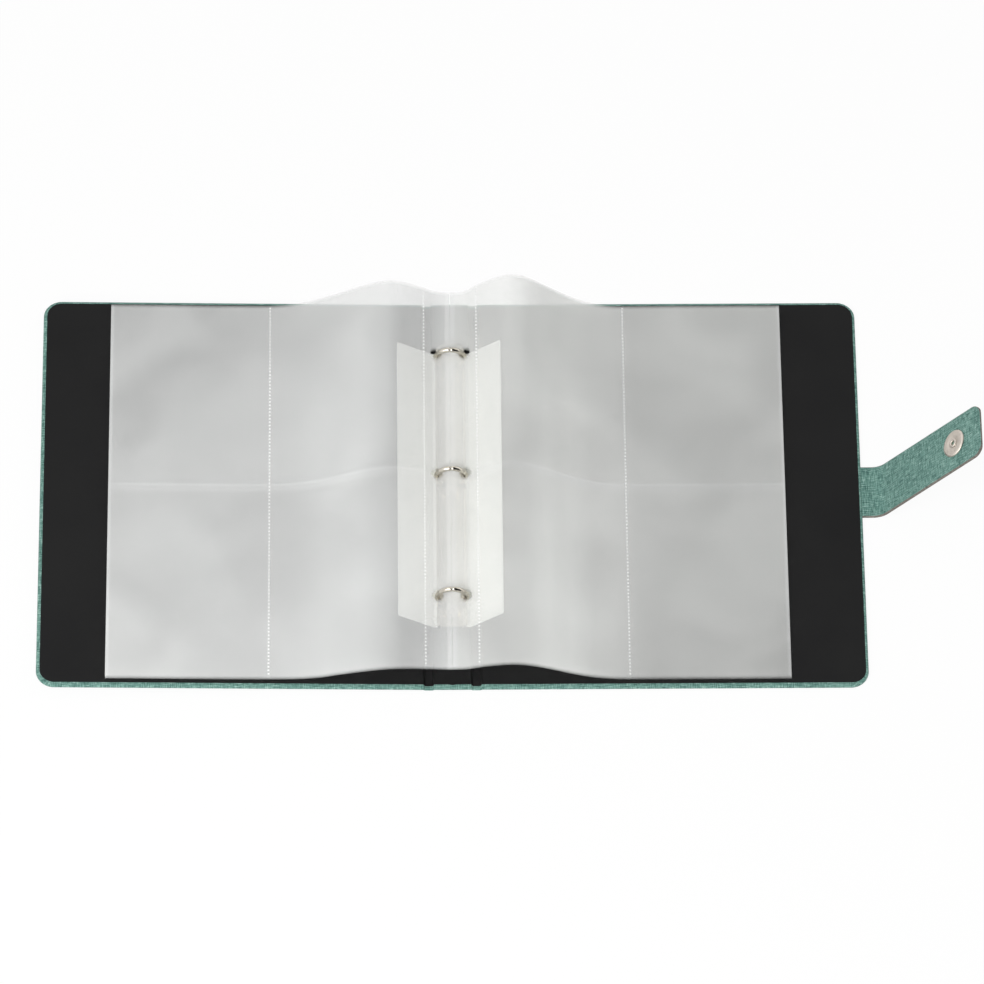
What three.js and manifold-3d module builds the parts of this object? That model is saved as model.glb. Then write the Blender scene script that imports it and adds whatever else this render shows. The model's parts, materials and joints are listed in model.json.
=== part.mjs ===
// Ring photo album, lying open and face up: a cloth-covered case, a three-ring binding,
// pocket leaves of milky film, a sheet lifter and a strap with a magnetic snap.
// Millimetres, +X right, +Y towards the head of the pages, +Z up.
// The origin is the middle of the spine's outer face, which lies on the table.
import * as THREE from 'three';
import { mergeVertices } from 'three/addons/utils/BufferGeometryUtils.js';
import Module from 'manifold-3d';

const wasm = await Module();
wasm.setup();

// Case: cloth outside, board between, lining inside
const COVER_HEIGHT = 225;
const COVER_WIDTH = 190.4;
const HINGE_SPACING = 23.2;
const CLOTH = 0.4;
const BOARD = 1.7;
const LINING = 0.4;
const LAYER_GAP = 0.05;
const TURN_IN = 1.8;
const CORNER_RADIUS = 9;
const GROOVE = 5.6;
const CLOTH_FOLD_GAP = 0.3;
const LINING_FOLD_GAP = 1.2;

// Ring binding
const RING_PITCH = 70;
const RING_COUNT = 3;
const BINDING_Y = 2.2;
const RING_RADIUS = 7.3;
const RING_WIRE = 2.5;
const RING_CENTRE_Z = 14.4;
const RING_SEAM = 0.3;
const RING_FOOT_X = 4.4;
const PLATE_PAST_BLADE = 4;
const PLATE_WIDTH = 14.8;
const PLATE_SIDE = 2.2;
const PLATE_RISE = 2.8;
const PLATE_STEEL = 0.6;
const PLATE_LIP = 1.8;
const PLATE_LIP_STEEL = 0.5;
const PLATE_END_RADIUS = 5;
const PLATE_ARCH_STEPS = 16;
const PLATE_SLOT_CLEARANCE = 0.45;
const BLADE_PAST_RING = 9;
const BLADE_CORNER = 1;
const BLADE_STEEL = 0.8;
const BLADE_CLEARANCE = 0.25;
const BLADE_SEAM = 0.3;
const BLADE_PIVOT_INSET = 0.5;
const RIVET_SHANK = 3.6;
const RIVET_HEAD = 6.4;
const RIVET_HEAD_RISE = 1.2;
const RIVET_FOOT = 6;
const RIVET_FOOT_HEIGHT = 0.5;
const HOLE_CLEARANCE = 0.2;

// Sheet lifter
const LIFTER_PAST_BLADE = 1;
const LIFTER_SHEET = 0.4;
const LIFTER_FOLD_X = 8.95;
const LIFTER_WING = 20.5;
const LIFTER_CORNER = 1;
const LIFTER_FOLD_GAP = 0.25;
const LIFTER_BASE_GAP = 0.4;
const LEFT_WING_ANGLE = 33;
const RIGHT_WING_ANGLE = 39;

// Pocket leaves
const LEAVES_PER_SIDE = 4;
const LEAF_HEIGHT = 217;
const LEAF_WIDTH = 171;
const LEAF_THICKNESS = 0.6;
const LEAF_PITCH = 0.9;
const LEAF_REST_GAP = 0.3;
const LEAF_GUTTER = 0.3;
const BINDING_MARGIN = 13;
const WELD = 2.4;
const EDGE_WELD = 2.5;
const POCKET_SLOT = 0.2;
const POCKET_MOUTH = 2;
const LEAF_STEP = 5.5;
const PUNCH_X = 6.9;
const PUNCH_RADIUS = 3.2;

// How far the top leaf stands above where it lies flat, at the middle of its height, and what
// it gains from there to its head edge: distance from the gutter, rise, gain
const LEAF_RISE = {
  left: [[0, 11.2, 1.5], [7, 12, 1.8], [15, 14.6, 4], [28, 16.9, 6.5], [36, 15.6, 6.3], [46, 12.1, 5],
    [56, 7.9, 3.5], [64, 4.6, 2.5], [75, 1.5, 1], [88, 0, 0]],
  right: [[0, 11.5, 1.5], [7, 12, 1.8], [15, 16.8, 4.5], [28, 21.4, 7.2], [36, 20.4, 7], [46, 15.2, 4.8],
    [57, 8.4, 2.5], [67, 3.5, 1], [78, 0.6, 0], [90, 0, 0]],
};

// Strap and magnetic snap
const STRAP_WIDTH = 29;
const STRAP_THICKNESS = 1.5;
const STRAP_TAIL = 18;
const STRAP_TAIL_GAP = 0.3;
const STRAP_FLAT = 5;
const STRAP_BEND_RADIUS = 9;
const STRAP_ANGLE = 51;
const STRAP_BEND_GAP = 0.8;
const STRAP_FOLD_GAP = 0.3;
const STRAP_TIP_LENGTH = 46;
const STRAP_TIP_CORNER = 5.5;
const SNAP_FROM_FOLD = 27.4;
const SNAP_DIAMETER = 14.3;
const SNAP_BEVEL = 0.4;
const SNAP_DISC = 1.2;
const SNAP_DISC_EDGE = 0.6;
const SNAP_RIM = 0.7;
const SNAP_DISH = 0.3;
const SNAP_RIVET_BORE = 1.1;
const SNAP_RIVET_RADIUS = 1.9;
const SNAP_RIVET_ROLL = 0.7;
const SNAP_RIVET_RISE = 0.8;
const SNAP_RIVET_DEPTH = 0.9;
const SNAP_GAP = 0.3;
const SOCKET_HEIGHT = 4;
const SOCKET_WALL = 0.5;
const SOCKET_MOUTH = 2.9;
const SOCKET_POST = 1.6;

// Sizes that follow
const COVER_THICKNESS = CLOTH + BOARD + LINING + 2 * LAYER_GAP;
const HINGE_X = HINGE_SPACING / 2;
const HINGE_Z = CLOTH;
const BOARD_BOTTOM = CLOTH + LAYER_GAP;
const LINING_BOTTOM = COVER_THICKNESS - LINING;
const BLADE_LENGTH = (RING_COUNT - 1) * RING_PITCH + 2 * BLADE_PAST_RING;
const PLATE_LENGTH = BLADE_LENGTH + 2 * PLATE_PAST_BLADE;
const LIFTER_LENGTH = BLADE_LENGTH + 2 * LIFTER_PAST_BLADE;
const PLATE_BOTTOM = COVER_THICKNESS + LIFTER_SHEET;
const PLATE_TOP = PLATE_BOTTOM + PLATE_SIDE + PLATE_RISE;
const BLADE_BOTTOM = PLATE_BOTTOM + PLATE_LIP_STEEL + BLADE_CLEARANCE;
const BLADE_TOP = BLADE_BOTTOM + BLADE_STEEL;
const BLADE_EDGE = PLATE_WIDTH / 2 - PLATE_STEEL - BLADE_CLEARANCE;
const RING_Y = Array.from({ length: RING_COUNT }, (_, i) => BINDING_Y + (i - (RING_COUNT - 1) / 2) * RING_PITCH);
const RIVET_Y = [BINDING_Y - RING_PITCH / 2, BINDING_Y + RING_PITCH / 2];
const CLOSED_THICKNESS = HINGE_SPACING + 2 * HINGE_Z;
const STRAP_MID_Z = COVER_THICKNESS / 2;
const FORE_EDGE_X = HINGE_X + COVER_WIDTH;

const rad = THREE.MathUtils.degToRad;

// Materials
const linen = new THREE.MeshStandardMaterial({ color: 0x659789, roughness: 0.9, metalness: 0 });
const greyboard = new THREE.MeshStandardMaterial({ color: 0x8d8878, roughness: 0.95, metalness: 0 });
const blackPaper = new THREE.MeshStandardMaterial({ color: 0x232323, roughness: 0.8, metalness: 0 });
const nickel = new THREE.MeshStandardMaterial({ color: 0xc9c5b8, roughness: 0.25, metalness: 1 });
const magnet = new THREE.MeshStandardMaterial({ color: 0x3a3a3c, roughness: 0.6, metalness: 0.3 });
const whitePlastic = new THREE.MeshStandardMaterial({ color: 0xeeeeec, roughness: 0.45, metalness: 0 });
const film = new THREE.MeshStandardMaterial({ color: 0xd8dad8, roughness: 0.35, metalness: 0 });

// Solid modelling helpers
function toSolid(geometry) {
  const bare = geometry.clone();
  bare.deleteAttribute('normal');
  bare.deleteAttribute('uv');
  const merged = mergeVertices(bare, 1e-4);
  return new wasm.Manifold(new wasm.Mesh({
    numProp: 3,
    vertProperties: new Float32Array(merged.attributes.position.array),
    triVerts: new Uint32Array(merged.index.array),
  }));
}

function toGeometry(solid) {
  const mesh = solid.getMesh();
  const geometry = new THREE.BufferGeometry();
  geometry.setAttribute('position', new THREE.BufferAttribute(new Float32Array(mesh.vertProperties), 3));
  geometry.setIndex(new THREE.BufferAttribute(new Uint32Array(mesh.triVerts), 1));
  geometry.computeVertexNormals();
  return geometry;
}

function unite(...geometries) {
  return toGeometry(geometries.map(toSolid).reduce((a, b) => a.add(b)));
}

function cut(geometry, ...cutters) {
  return toGeometry(cutters.map(toSolid).reduce((a, b) => a.subtract(b), toSolid(geometry)));
}

function common(a, b) {
  return toGeometry(toSolid(a).intersect(toSolid(b)));
}

// A plan outline pulled up from z0 to z1
function prism(shape, z0, z1, curveSegments = 8) {
  const geometry = new THREE.ExtrudeGeometry(shape, { depth: z1 - z0, bevelEnabled: false, curveSegments });
  return geometry.translate(0, 0, z0);
}

// A section given as [x, z] points, carried along Y from y0 to y1
function bar(points, y0, y1) {
  const shape = new THREE.Shape(points.map(([x, z]) => new THREE.Vector2(x, z)));
  const geometry = new THREE.ExtrudeGeometry(shape, { depth: y1 - y0, bevelEnabled: false });
  return geometry.rotateX(Math.PI / 2).translate(0, y1, 0);
}

// A profile of [radius, height] points turned about a vertical axis
function turned(points, segments = 24) {
  const profile = points.map(([r, z]) => new THREE.Vector2(r, z));
  return new THREE.LatheGeometry(profile, segments).rotateX(Math.PI / 2);
}

function disc(radius, z0, z1, x = 0, y = 0, segments = 20) {
  const geometry = new THREE.CylinderGeometry(radius, radius, z1 - z0, segments);
  return geometry.rotateX(Math.PI / 2).translate(x, y, (z0 + z1) / 2);
}

function block(x0, x1, y0, y1, z0, z1) {
  return new THREE.BoxGeometry(x1 - x0, y1 - y0, z1 - z0)
    .translate((x0 + x1) / 2, (y0 + y1) / 2, (z0 + z1) / 2);
}

// A plan rectangle whose corners at x1 are rounded, and those at x0 too if bothEnds is set
function roundedPlan(x0, x1, y0, y1, radius, bothEnds = false) {
  const shape = new THREE.Shape();
  const way = Math.sign(x1 - x0);
  const turn = way < 0;
  const near = bothEnds ? radius : 0;
  shape.moveTo(x0 + way * near, y0);
  shape.lineTo(x1 - way * radius, y0);
  shape.absarc(x1 - way * radius, y0 + radius, radius, -Math.PI / 2, turn ? -Math.PI : 0, turn);
  shape.lineTo(x1, y1 - radius);
  shape.absarc(x1 - way * radius, y1 - radius, radius, turn ? Math.PI : 0, Math.PI / 2, turn);
  shape.lineTo(x0 + way * near, y1);
  if (bothEnds) {
    shape.absarc(x0 + way * radius, y1 - radius, radius, Math.PI / 2, turn ? 0 : Math.PI, turn);
    shape.lineTo(x0, y0 + radius);
    shape.absarc(x0 + way * radius, y0 + radius, radius, turn ? 0 : Math.PI, turn ? -Math.PI / 2 : 1.5 * Math.PI, turn);
  }
  shape.closePath();
  return shape;
}

const album = new THREE.Group();

function addPiece(parent, name, geometry, material) {
  const mesh = new THREE.Mesh(geometry, material);
  mesh.name = name;
  parent.add(mesh);
  return mesh;
}

// A cover's outline, measured from its hinge line: straight at the hinge, round at the fore edge
function coverPlan(side, from, inset) {
  const half = COVER_HEIGHT / 2 - inset;
  const radius = CORNER_RADIUS - inset;
  return roundedPlan(side * from, side * (COVER_WIDTH - inset), -half, half, radius);
}

// Cloth: a sheet under the whole cover, turned up round three edges and in over the board
function coverCloth(side) {
  const past = -GROOVE;
  const sheet = prism(coverPlan(side, CLOTH_FOLD_GAP / 2, 0), 0, CLOTH);
  const wrap = cut(
    prism(coverPlan(side, GROOVE / 2 - CLOTH, 0), 0, COVER_THICKNESS),
    prism(coverPlan(side, past, CLOTH), CLOTH, LINING_BOTTOM),
    prism(coverPlan(side, past, TURN_IN), CLOTH, COVER_THICKNESS + CLOTH),
  );
  return unite(sheet, wrap);
}

function coverBoard(side) {
  return prism(coverPlan(side, GROOVE / 2, CLOTH + LAYER_GAP), BOARD_BOTTOM, BOARD_BOTTOM + BOARD);
}

// Lining: lies on the board inside the turned-in cloth and drops into the hinge groove
function liningSection(foldEdge, boardEdge, farEdge) {
  const low = BOARD_BOTTOM;
  return [
    [foldEdge, low], [boardEdge - LAYER_GAP, low], [boardEdge - LAYER_GAP, LINING_BOTTOM],
    [farEdge, LINING_BOTTOM], [farEdge, COVER_THICKNESS],
    [boardEdge - LAYER_GAP - LINING, COVER_THICKNESS], [boardEdge - LAYER_GAP - LINING, low + LINING],
    [foldEdge, low + LINING],
  ];
}

function coverLining(side) {
  const half = COVER_HEIGHT / 2;
  const section = liningSection(LINING_FOLD_GAP / 2, GROOVE / 2, COVER_WIDTH).map(([d, z]) => [side * d, z]);
  const inside = prism(coverPlan(side, 0, TURN_IN + LAYER_GAP), -1, COVER_THICKNESS + 1);
  return common(bar(section, -half, half), inside);
}

// Spine: the same three layers between the two hinge lines
function spineCloth() {
  const half = COVER_HEIGHT / 2;
  const edge = HINGE_X - CLOTH_FOLD_GAP / 2;
  const wall = HINGE_X - GROOVE / 2 + CLOTH;
  const sheet = block(-edge, edge, -half, half, 0, CLOTH);
  const wrap = cut(
    block(-wall, wall, -half, half, 0, COVER_THICKNESS),
    block(-edge, edge, -half + CLOTH, half - CLOTH, CLOTH, LINING_BOTTOM),
    block(-edge, edge, -half + TURN_IN, half - TURN_IN, CLOTH, COVER_THICKNESS + CLOTH),
  );
  return unite(sheet, wrap);
}

function rivetHoles(radius, z0, z1) {
  return RIVET_Y.map((y) => disc(radius, z0, z1, 0, y));
}

function spineBoard() {
  const edge = HINGE_X - GROOVE / 2;
  const half = COVER_HEIGHT / 2 - CLOTH - LAYER_GAP;
  const footTop = BOARD_BOTTOM + RIVET_FOOT_HEIGHT + LAYER_GAP;
  return cut(
    block(-edge, edge, -half, half, BOARD_BOTTOM, BOARD_BOTTOM + BOARD),
    ...rivetHoles(RIVET_SHANK / 2 + HOLE_CLEARANCE, 0, COVER_THICKNESS),
    ...rivetHoles(RIVET_FOOT / 2 + HOLE_CLEARANCE, 0, footTop),
  );
}

function spineLining() {
  const half = COVER_HEIGHT / 2 - TURN_IN - LAYER_GAP;
  const fold = HINGE_X - LINING_FOLD_GAP / 2;
  const edge = HINGE_X - GROOVE / 2 + LAYER_GAP;
  const low = BOARD_BOTTOM;
  const rightHalf = [
    [edge, LINING_BOTTOM], [edge, low], [fold, low], [fold, low + LINING],
    [edge + LINING, low + LINING], [edge + LINING, COVER_THICKNESS],
  ];
  const leftHalf = rightHalf.map(([x, z]) => [-x, z]).reverse();
  return cut(
    bar([...rightHalf, ...leftHalf], -half, half),
    ...rivetHoles(RIVET_SHANK / 2 + HOLE_CLEARANCE, 0, COVER_THICKNESS + 1),
  );
}

// Strap: its tail is glued into a notch in the back board and leaves through the fore edge
function strapNotch(clearance) {
  const half = STRAP_WIDTH / 2 + clearance;
  return block(COVER_WIDTH - STRAP_TAIL - clearance, COVER_WIDTH + CLOTH, -half, half, BOARD_BOTTOM, LINING_BOTTOM);
}

// The strap's section between two points of its bend, which starts flat at x = 0
function bendPoint(angle, offset) {
  const r = STRAP_BEND_RADIUS - offset;
  return [r * Math.sin(rad(angle)), STRAP_BEND_RADIUS - r * Math.cos(rad(angle))];
}

function bendSide(from, to, offset, steps = 5) {
  return Array.from({ length: steps + 1 }, (_, i) => bendPoint(from + ((to - from) * i) / steps, offset));
}

function strapAnchor() {
  const half = STRAP_THICKNESS / 2;
  const end = STRAP_ANGLE / 2 - THREE.MathUtils.radToDeg(STRAP_BEND_GAP / 2 / STRAP_BEND_RADIUS);
  const start = -STRAP_TAIL - STRAP_FLAT;
  const section = [[start, -half], ...bendSide(0, end, -half), ...bendSide(end, 0, half), [start, half]];
  return bar(section, -STRAP_WIDTH / 2, STRAP_WIDTH / 2);
}

function strapBridge(straight) {
  const half = STRAP_THICKNESS / 2;
  const begin = STRAP_ANGLE / 2 + THREE.MathUtils.radToDeg(STRAP_BEND_GAP / 2 / STRAP_BEND_RADIUS);
  const along = [Math.cos(rad(STRAP_ANGLE)), Math.sin(rad(STRAP_ANGLE))];
  const run = straight - STRAP_FOLD_GAP / 2;
  const far = (offset) => bendPoint(STRAP_ANGLE, offset).map((v, i) => v + along[i] * run);
  const section = [...bendSide(begin, STRAP_ANGLE, -half), far(-half), far(half), ...bendSide(STRAP_ANGLE, begin, half)];
  return bar(section, -STRAP_WIDTH / 2, STRAP_WIDTH / 2);
}

// The tip lies along +X from the fold, with its snap face up at z = 0
function strapTip() {
  const half = STRAP_WIDTH / 2;
  const plan = roundedPlan(STRAP_FOLD_GAP / 2, STRAP_TIP_LENGTH, -half, half, STRAP_TIP_CORNER);
  const pocket = disc(SNAP_RIVET_RADIUS + HOLE_CLEARANCE, -SNAP_RIVET_DEPTH - LAYER_GAP, 1, SNAP_FROM_FOLD, 0);
  return cut(prism(plan, -STRAP_THICKNESS, 0), pocket);
}

// Snap disc: a flat pressed washer with a soft outer edge and a raised rim
function snapDisc() {
  const r = SNAP_DIAMETER / 2;
  const hole = SNAP_RIVET_RADIUS + HOLE_CLEARANCE;
  const rim = r - SNAP_BEVEL - SNAP_RIM;
  const floor = SNAP_DISC - SNAP_DISH;
  return turned([
    [hole, LAYER_GAP], [r, LAYER_GAP], [r, SNAP_DISC_EDGE], [r - SNAP_BEVEL, SNAP_DISC], [rim, SNAP_DISC],
    [rim - SNAP_BEVEL, floor], [hole, floor], [hole, LAYER_GAP],
  ], 32);
}

// Hollow rivet that holds the disc: its top is rolled over outwards
function snapRivet() {
  const seat = SNAP_DISC - SNAP_DISH + LAYER_GAP;
  const top = SNAP_DISC + SNAP_RIVET_RISE;
  const rollMiddle = (seat + top) / 2;
  const rollHeight = (top - seat) / 2;
  const shank = [[SNAP_RIVET_BORE, -SNAP_RIVET_DEPTH], [SNAP_RIVET_RADIUS, -SNAP_RIVET_DEPTH], [SNAP_RIVET_RADIUS, seat]];
  const roll = [-60, -20, 20, 60, 100, 140].map((angle) => [
    SNAP_RIVET_RADIUS + SNAP_RIVET_ROLL * Math.cos(rad(angle)), rollMiddle + rollHeight * Math.sin(rad(angle)),
  ]);
  return turned([...shank, ...roll, [SNAP_RIVET_BORE, rollMiddle], [SNAP_RIVET_BORE, -SNAP_RIVET_DEPTH]], 20);
}

// Magnet half of the snap, on the outside of the front cover, so it hangs below z = 0
function socketCup() {
  const r = SNAP_DIAMETER / 2;
  return turned([
    [r - SOCKET_WALL, -3 * LAYER_GAP], [r - SOCKET_WALL, SOCKET_WALL - SOCKET_HEIGHT],
    [SOCKET_MOUTH, SOCKET_WALL - SOCKET_HEIGHT], [SOCKET_MOUTH, -SOCKET_HEIGHT], [r - SNAP_BEVEL, -SOCKET_HEIGHT],
    [r, SNAP_BEVEL - SOCKET_HEIGHT], [r, -3 * LAYER_GAP], [r - SOCKET_WALL, -3 * LAYER_GAP],
  ], 32);
}

function socketMagnet() {
  const outer = SNAP_DIAMETER / 2 - SOCKET_WALL - HOLE_CLEARANCE;
  const bottom = SOCKET_WALL - SOCKET_HEIGHT + 2 * LAYER_GAP;
  const top = -SOCKET_WALL - 3 * LAYER_GAP;
  return turned([[SOCKET_MOUTH, bottom], [outer, bottom], [outer, top], [SOCKET_MOUTH, top], [SOCKET_MOUTH, bottom]], 32);
}

function socketBase() {
  const outer = SNAP_DIAMETER / 2 - SOCKET_WALL - HOLE_CLEARANCE;
  const top = BOARD_BOTTOM + BOARD;
  return turned([
    [0, -SOCKET_WALL - LAYER_GAP], [outer, -SOCKET_WALL - LAYER_GAP], [outer, -LAYER_GAP],
    [SOCKET_POST, -LAYER_GAP], [SOCKET_POST, top], [0, top],
  ], 32);
}

// Half ring: a wire bent round from the seam at the top to a straight foot on its blade
class RingArc extends THREE.Curve {
  constructor(side, from, to) {
    super();
    Object.assign(this, { side, from, to });
  }

  getPoint(t, target = new THREE.Vector3()) {
    const angle = this.from + (this.to - this.from) * t;
    return target.set(this.side * RING_RADIUS * Math.cos(angle), 0, RING_CENTRE_Z + RING_RADIUS * Math.sin(angle));
  }
}

function wireSection(sides) {
  return new THREE.Shape(Array.from({ length: sides }, (_, i) => {
    const a = (2 * Math.PI * i) / sides;
    return new THREE.Vector2(Math.cos(a), Math.sin(a)).multiplyScalar(RING_WIRE / 2);
  }));
}

function halfRing(side, y) {
  const seam = Math.asin(RING_SEAM / 2 / RING_RADIUS);
  const footAngle = -Math.acos(RING_FOOT_X / RING_RADIUS);
  const arc = new RingArc(side, Math.PI / 2 - seam, footAngle);
  const wire = new THREE.ExtrudeGeometry(wireSection(10), { steps: 18, bevelEnabled: false, extrudePath: arc });
  const kneeZ = RING_CENTRE_Z + RING_RADIUS * Math.sin(footAngle);
  const knee = new THREE.SphereGeometry(RING_WIRE / 2, 10, 6).translate(side * RING_FOOT_X, 0, kneeZ);
  const foot = disc(RING_WIRE / 2, BLADE_TOP, kneeZ, side * RING_FOOT_X, 0, 10);
  return unite(wire, knee, foot).translate(0, y, 0);
}

// Blades: two flat strips that meet over the spine and carry the half rings
function blade(side) {
  const half = BLADE_LENGTH / 2;
  const notches = RIVET_Y.map((y) => disc(RIVET_SHANK / 2 + 3 * HOLE_CLEARANCE, 0, PLATE_TOP, 0, y));
  const x0 = side * (BLADE_SEAM / 2);
  const plan = roundedPlan(x0, side * BLADE_EDGE, BINDING_Y - half, BINDING_Y + half, BLADE_CORNER);
  return cut(prism(plan, BLADE_BOTTOM, BLADE_TOP), ...notches);
}

// Arched cover plate: straight sides, a low elliptic crown and lips curled in under the blades
function plateSection() {
  const arch = (halfWidth, base, rise) => Array.from({ length: PLATE_ARCH_STEPS + 1 }, (_, i) => {
    const a = Math.PI * (1 - i / PLATE_ARCH_STEPS);
    return [halfWidth * Math.cos(a), base + rise * Math.sin(a)];
  });
  const outer = PLATE_WIDTH / 2;
  const inner = outer - PLATE_STEEL;
  const lip = outer - PLATE_LIP;
  const outside = arch(outer, PLATE_SIDE, PLATE_RISE);
  const inside = arch(inner, PLATE_SIDE - 0.1, PLATE_RISE - PLATE_STEEL + 0.1).reverse();
  return [
    [-outer, 0], ...outside, [outer, 0], [lip, 0], [lip, PLATE_LIP_STEEL], [inner, PLATE_LIP_STEEL],
    ...inside, [-inner, PLATE_LIP_STEEL], [-lip, PLATE_LIP_STEEL], [-lip, 0],
  ].map(([x, z]) => [x, z + PLATE_BOTTOM]);
}

function coverPlate() {
  const half = PLATE_LENGTH / 2;
  const wide = PLATE_WIDTH / 2;
  const slotHalf = RING_WIRE / 2 + PLATE_SLOT_CLEARANCE;
  const slots = RING_Y.flatMap((y) => [-1, 1].map((side) => {
    const xs = [side * (RING_FOOT_X - RING_WIRE / 2 - HOLE_CLEARANCE), side * (wide + 1)];
    return block(Math.min(...xs), Math.max(...xs), y - slotHalf, y + slotHalf, PLATE_BOTTOM + PLATE_SIDE - 0.1, PLATE_TOP + 1);
  }));
  const plan = roundedPlan(-wide, wide, BINDING_Y - half, BINDING_Y + half, PLATE_END_RADIUS, true);
  const strip = bar(plateSection(), BINDING_Y - half, BINDING_Y + half);
  const holes = rivetHoles(RIVET_SHANK / 2 + HOLE_CLEARANCE, PLATE_BOTTOM, PLATE_TOP + 1);
  return cut(common(strip, prism(plan, 0, PLATE_TOP + 1)), ...slots, ...holes);
}

// Rivet: domed head on the cover plate, foot spread inside the spine board
function rivet(y) {
  const shank = RIVET_SHANK / 2;
  const head = RIVET_HEAD / 2;
  const foot = RIVET_FOOT / 2;
  const seat = PLATE_TOP + LAYER_GAP;
  const low = BOARD_BOTTOM + LAYER_GAP;
  return turned([
    [0, low], [foot, low], [foot, low + RIVET_FOOT_HEIGHT - LAYER_GAP], [shank, low + RIVET_FOOT_HEIGHT - LAYER_GAP],
    [shank, seat], [head, seat], [head * 0.92, seat + RIVET_HEAD_RISE * 0.5],
    [head * 0.6, seat + RIVET_HEAD_RISE * 0.9], [0, seat + RIVET_HEAD_RISE],
  ], 20).translate(0, y, 0);
}

// Sheet lifter: a flat strip clamped under the cover plate and two wings that hold the leaves up
function lifterBase() {
  const edge = LIFTER_FOLD_X - LIFTER_BASE_GAP;
  const half = LIFTER_LENGTH / 2;
  return cut(
    block(-edge, edge, BINDING_Y - half, BINDING_Y + half, COVER_THICKNESS, COVER_THICKNESS + LIFTER_SHEET),
    ...rivetHoles(RIVET_SHANK / 2 + HOLE_CLEARANCE, 0, PLATE_TOP),
  );
}

// A wing lies along +X from its fold line, just outside the rings, so it stands beside them in the
// closed album
function lifterWing(side) {
  const half = LIFTER_LENGTH / 2;
  const plan = roundedPlan(side * LIFTER_FOLD_GAP, side * LIFTER_WING, -half, half, LIFTER_CORNER);
  return prism(plan, -LIFTER_SHEET / 2, LIFTER_SHEET / 2);
}

// A value read off [distance, rise, gain] knots along a curve that passes smoothly through them
function smoothAt(knots, x, column) {
  const last = knots.length - 1;
  if (x >= knots[last][0]) return knots[last][column];
  const i = Math.max(knots.findIndex((k) => k[0] > x) - 1, 0);
  const slope = (j) => {
    const a = knots[Math.max(j - 1, 0)];
    const b = knots[Math.min(j + 1, last)];
    return (b[column] - a[column]) / (b[0] - a[0]);
  };
  const [p, q] = [knots[i], knots[i + 1]];
  const span = q[0] - p[0];
  const t = (x - p[0]) / span;
  const bend = (t - 2) * t * t + t;
  const bendEnd = (t - 1) * t * t;
  const blend = (3 - 2 * t) * t * t;
  return p[column] * (1 - blend) + q[column] * blend + span * (bend * slope(i) + bendEnd * slope(i + 1));
}

// Height of a leaf's middle surface at distance x from the gutter; leaf 0 is the top one
function leafHeight(side, leaf, x, y, tilt) {
  const knots = side < 0 ? LEAF_RISE.left : LEAF_RISE.right;
  const stack = LEAF_REST_GAP + LEAF_THICKNESS / 2 + (LEAVES_PER_SIDE - 1 - leaf) * LEAF_PITCH;
  const cover = COVER_THICKNESS + (side < 0 ? Math.max(x - HINGE_X, 0) * Math.tan(tilt) : 0);
  const lean = y / (LEAF_HEIGHT / 2);
  return cover + stack + smoothAt(knots, x, 1) + lean * smoothAt(knots, x, 2);
}

// Distance from the gutter reached by a length of film laid along the leaf's own curve
function leafReach(side, film, tilt) {
  const step = 0.5;
  let [x, length] = [LEAF_GUTTER, 0];
  while (length < film) {
    length += Math.hypot(step, leafHeight(side, 0, x + step, 0, tilt) - leafHeight(side, 0, x, 0, tilt));
    x += step;
  }
  return x;
}

// A sheet with the leaf's curve: columns of x, rows of y, from low to high about the middle surface
function curvedSheet(side, leaf, xs, ys, low, high, tilt) {
  const points = [];
  for (const offset of [low, high]) {
    for (const y of ys) {
      for (const x of xs) points.push(side * x, y, leafHeight(side, leaf, x, y, tilt) + offset);
    }
  }
  const [nx, ny] = [xs.length, ys.length];
  const at = (layer, row, column) => (layer * ny + row) * nx + column;
  const faces = [];
  const quad = (a, b, c, d) => faces.push(...(side < 0 ? [a, c, b, a, d, c] : [a, b, c, a, c, d]));
  for (let r = 0; r + 1 < ny; r += 1) {
    for (let c = 0; c + 1 < nx; c += 1) {
      quad(at(1, r, c), at(1, r, c + 1), at(1, r + 1, c + 1), at(1, r + 1, c));
      faces.push(...(side < 0
        ? [at(0, r, c), at(0, r + 1, c + 1), at(0, r + 1, c), at(0, r, c), at(0, r, c + 1), at(0, r + 1, c + 1)]
        : [at(0, r, c), at(0, r + 1, c), at(0, r + 1, c + 1), at(0, r, c), at(0, r + 1, c + 1), at(0, r, c + 1)]));
    }
    quad(at(0, r + 1, 0), at(0, r, 0), at(1, r, 0), at(1, r + 1, 0));
    quad(at(0, r, nx - 1), at(0, r + 1, nx - 1), at(1, r + 1, nx - 1), at(1, r, nx - 1));
  }
  for (let c = 0; c + 1 < nx; c += 1) {
    quad(at(0, 0, c), at(0, 0, c + 1), at(1, 0, c + 1), at(1, 0, c));
    quad(at(0, ny - 1, c + 1), at(0, ny - 1, c), at(1, ny - 1, c), at(1, ny - 1, c + 1));
  }
  const geometry = new THREE.BufferGeometry();
  geometry.setAttribute('position', new THREE.BufferAttribute(new Float32Array(points), 3));
  geometry.setIndex(faces);
  return geometry;
}

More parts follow.
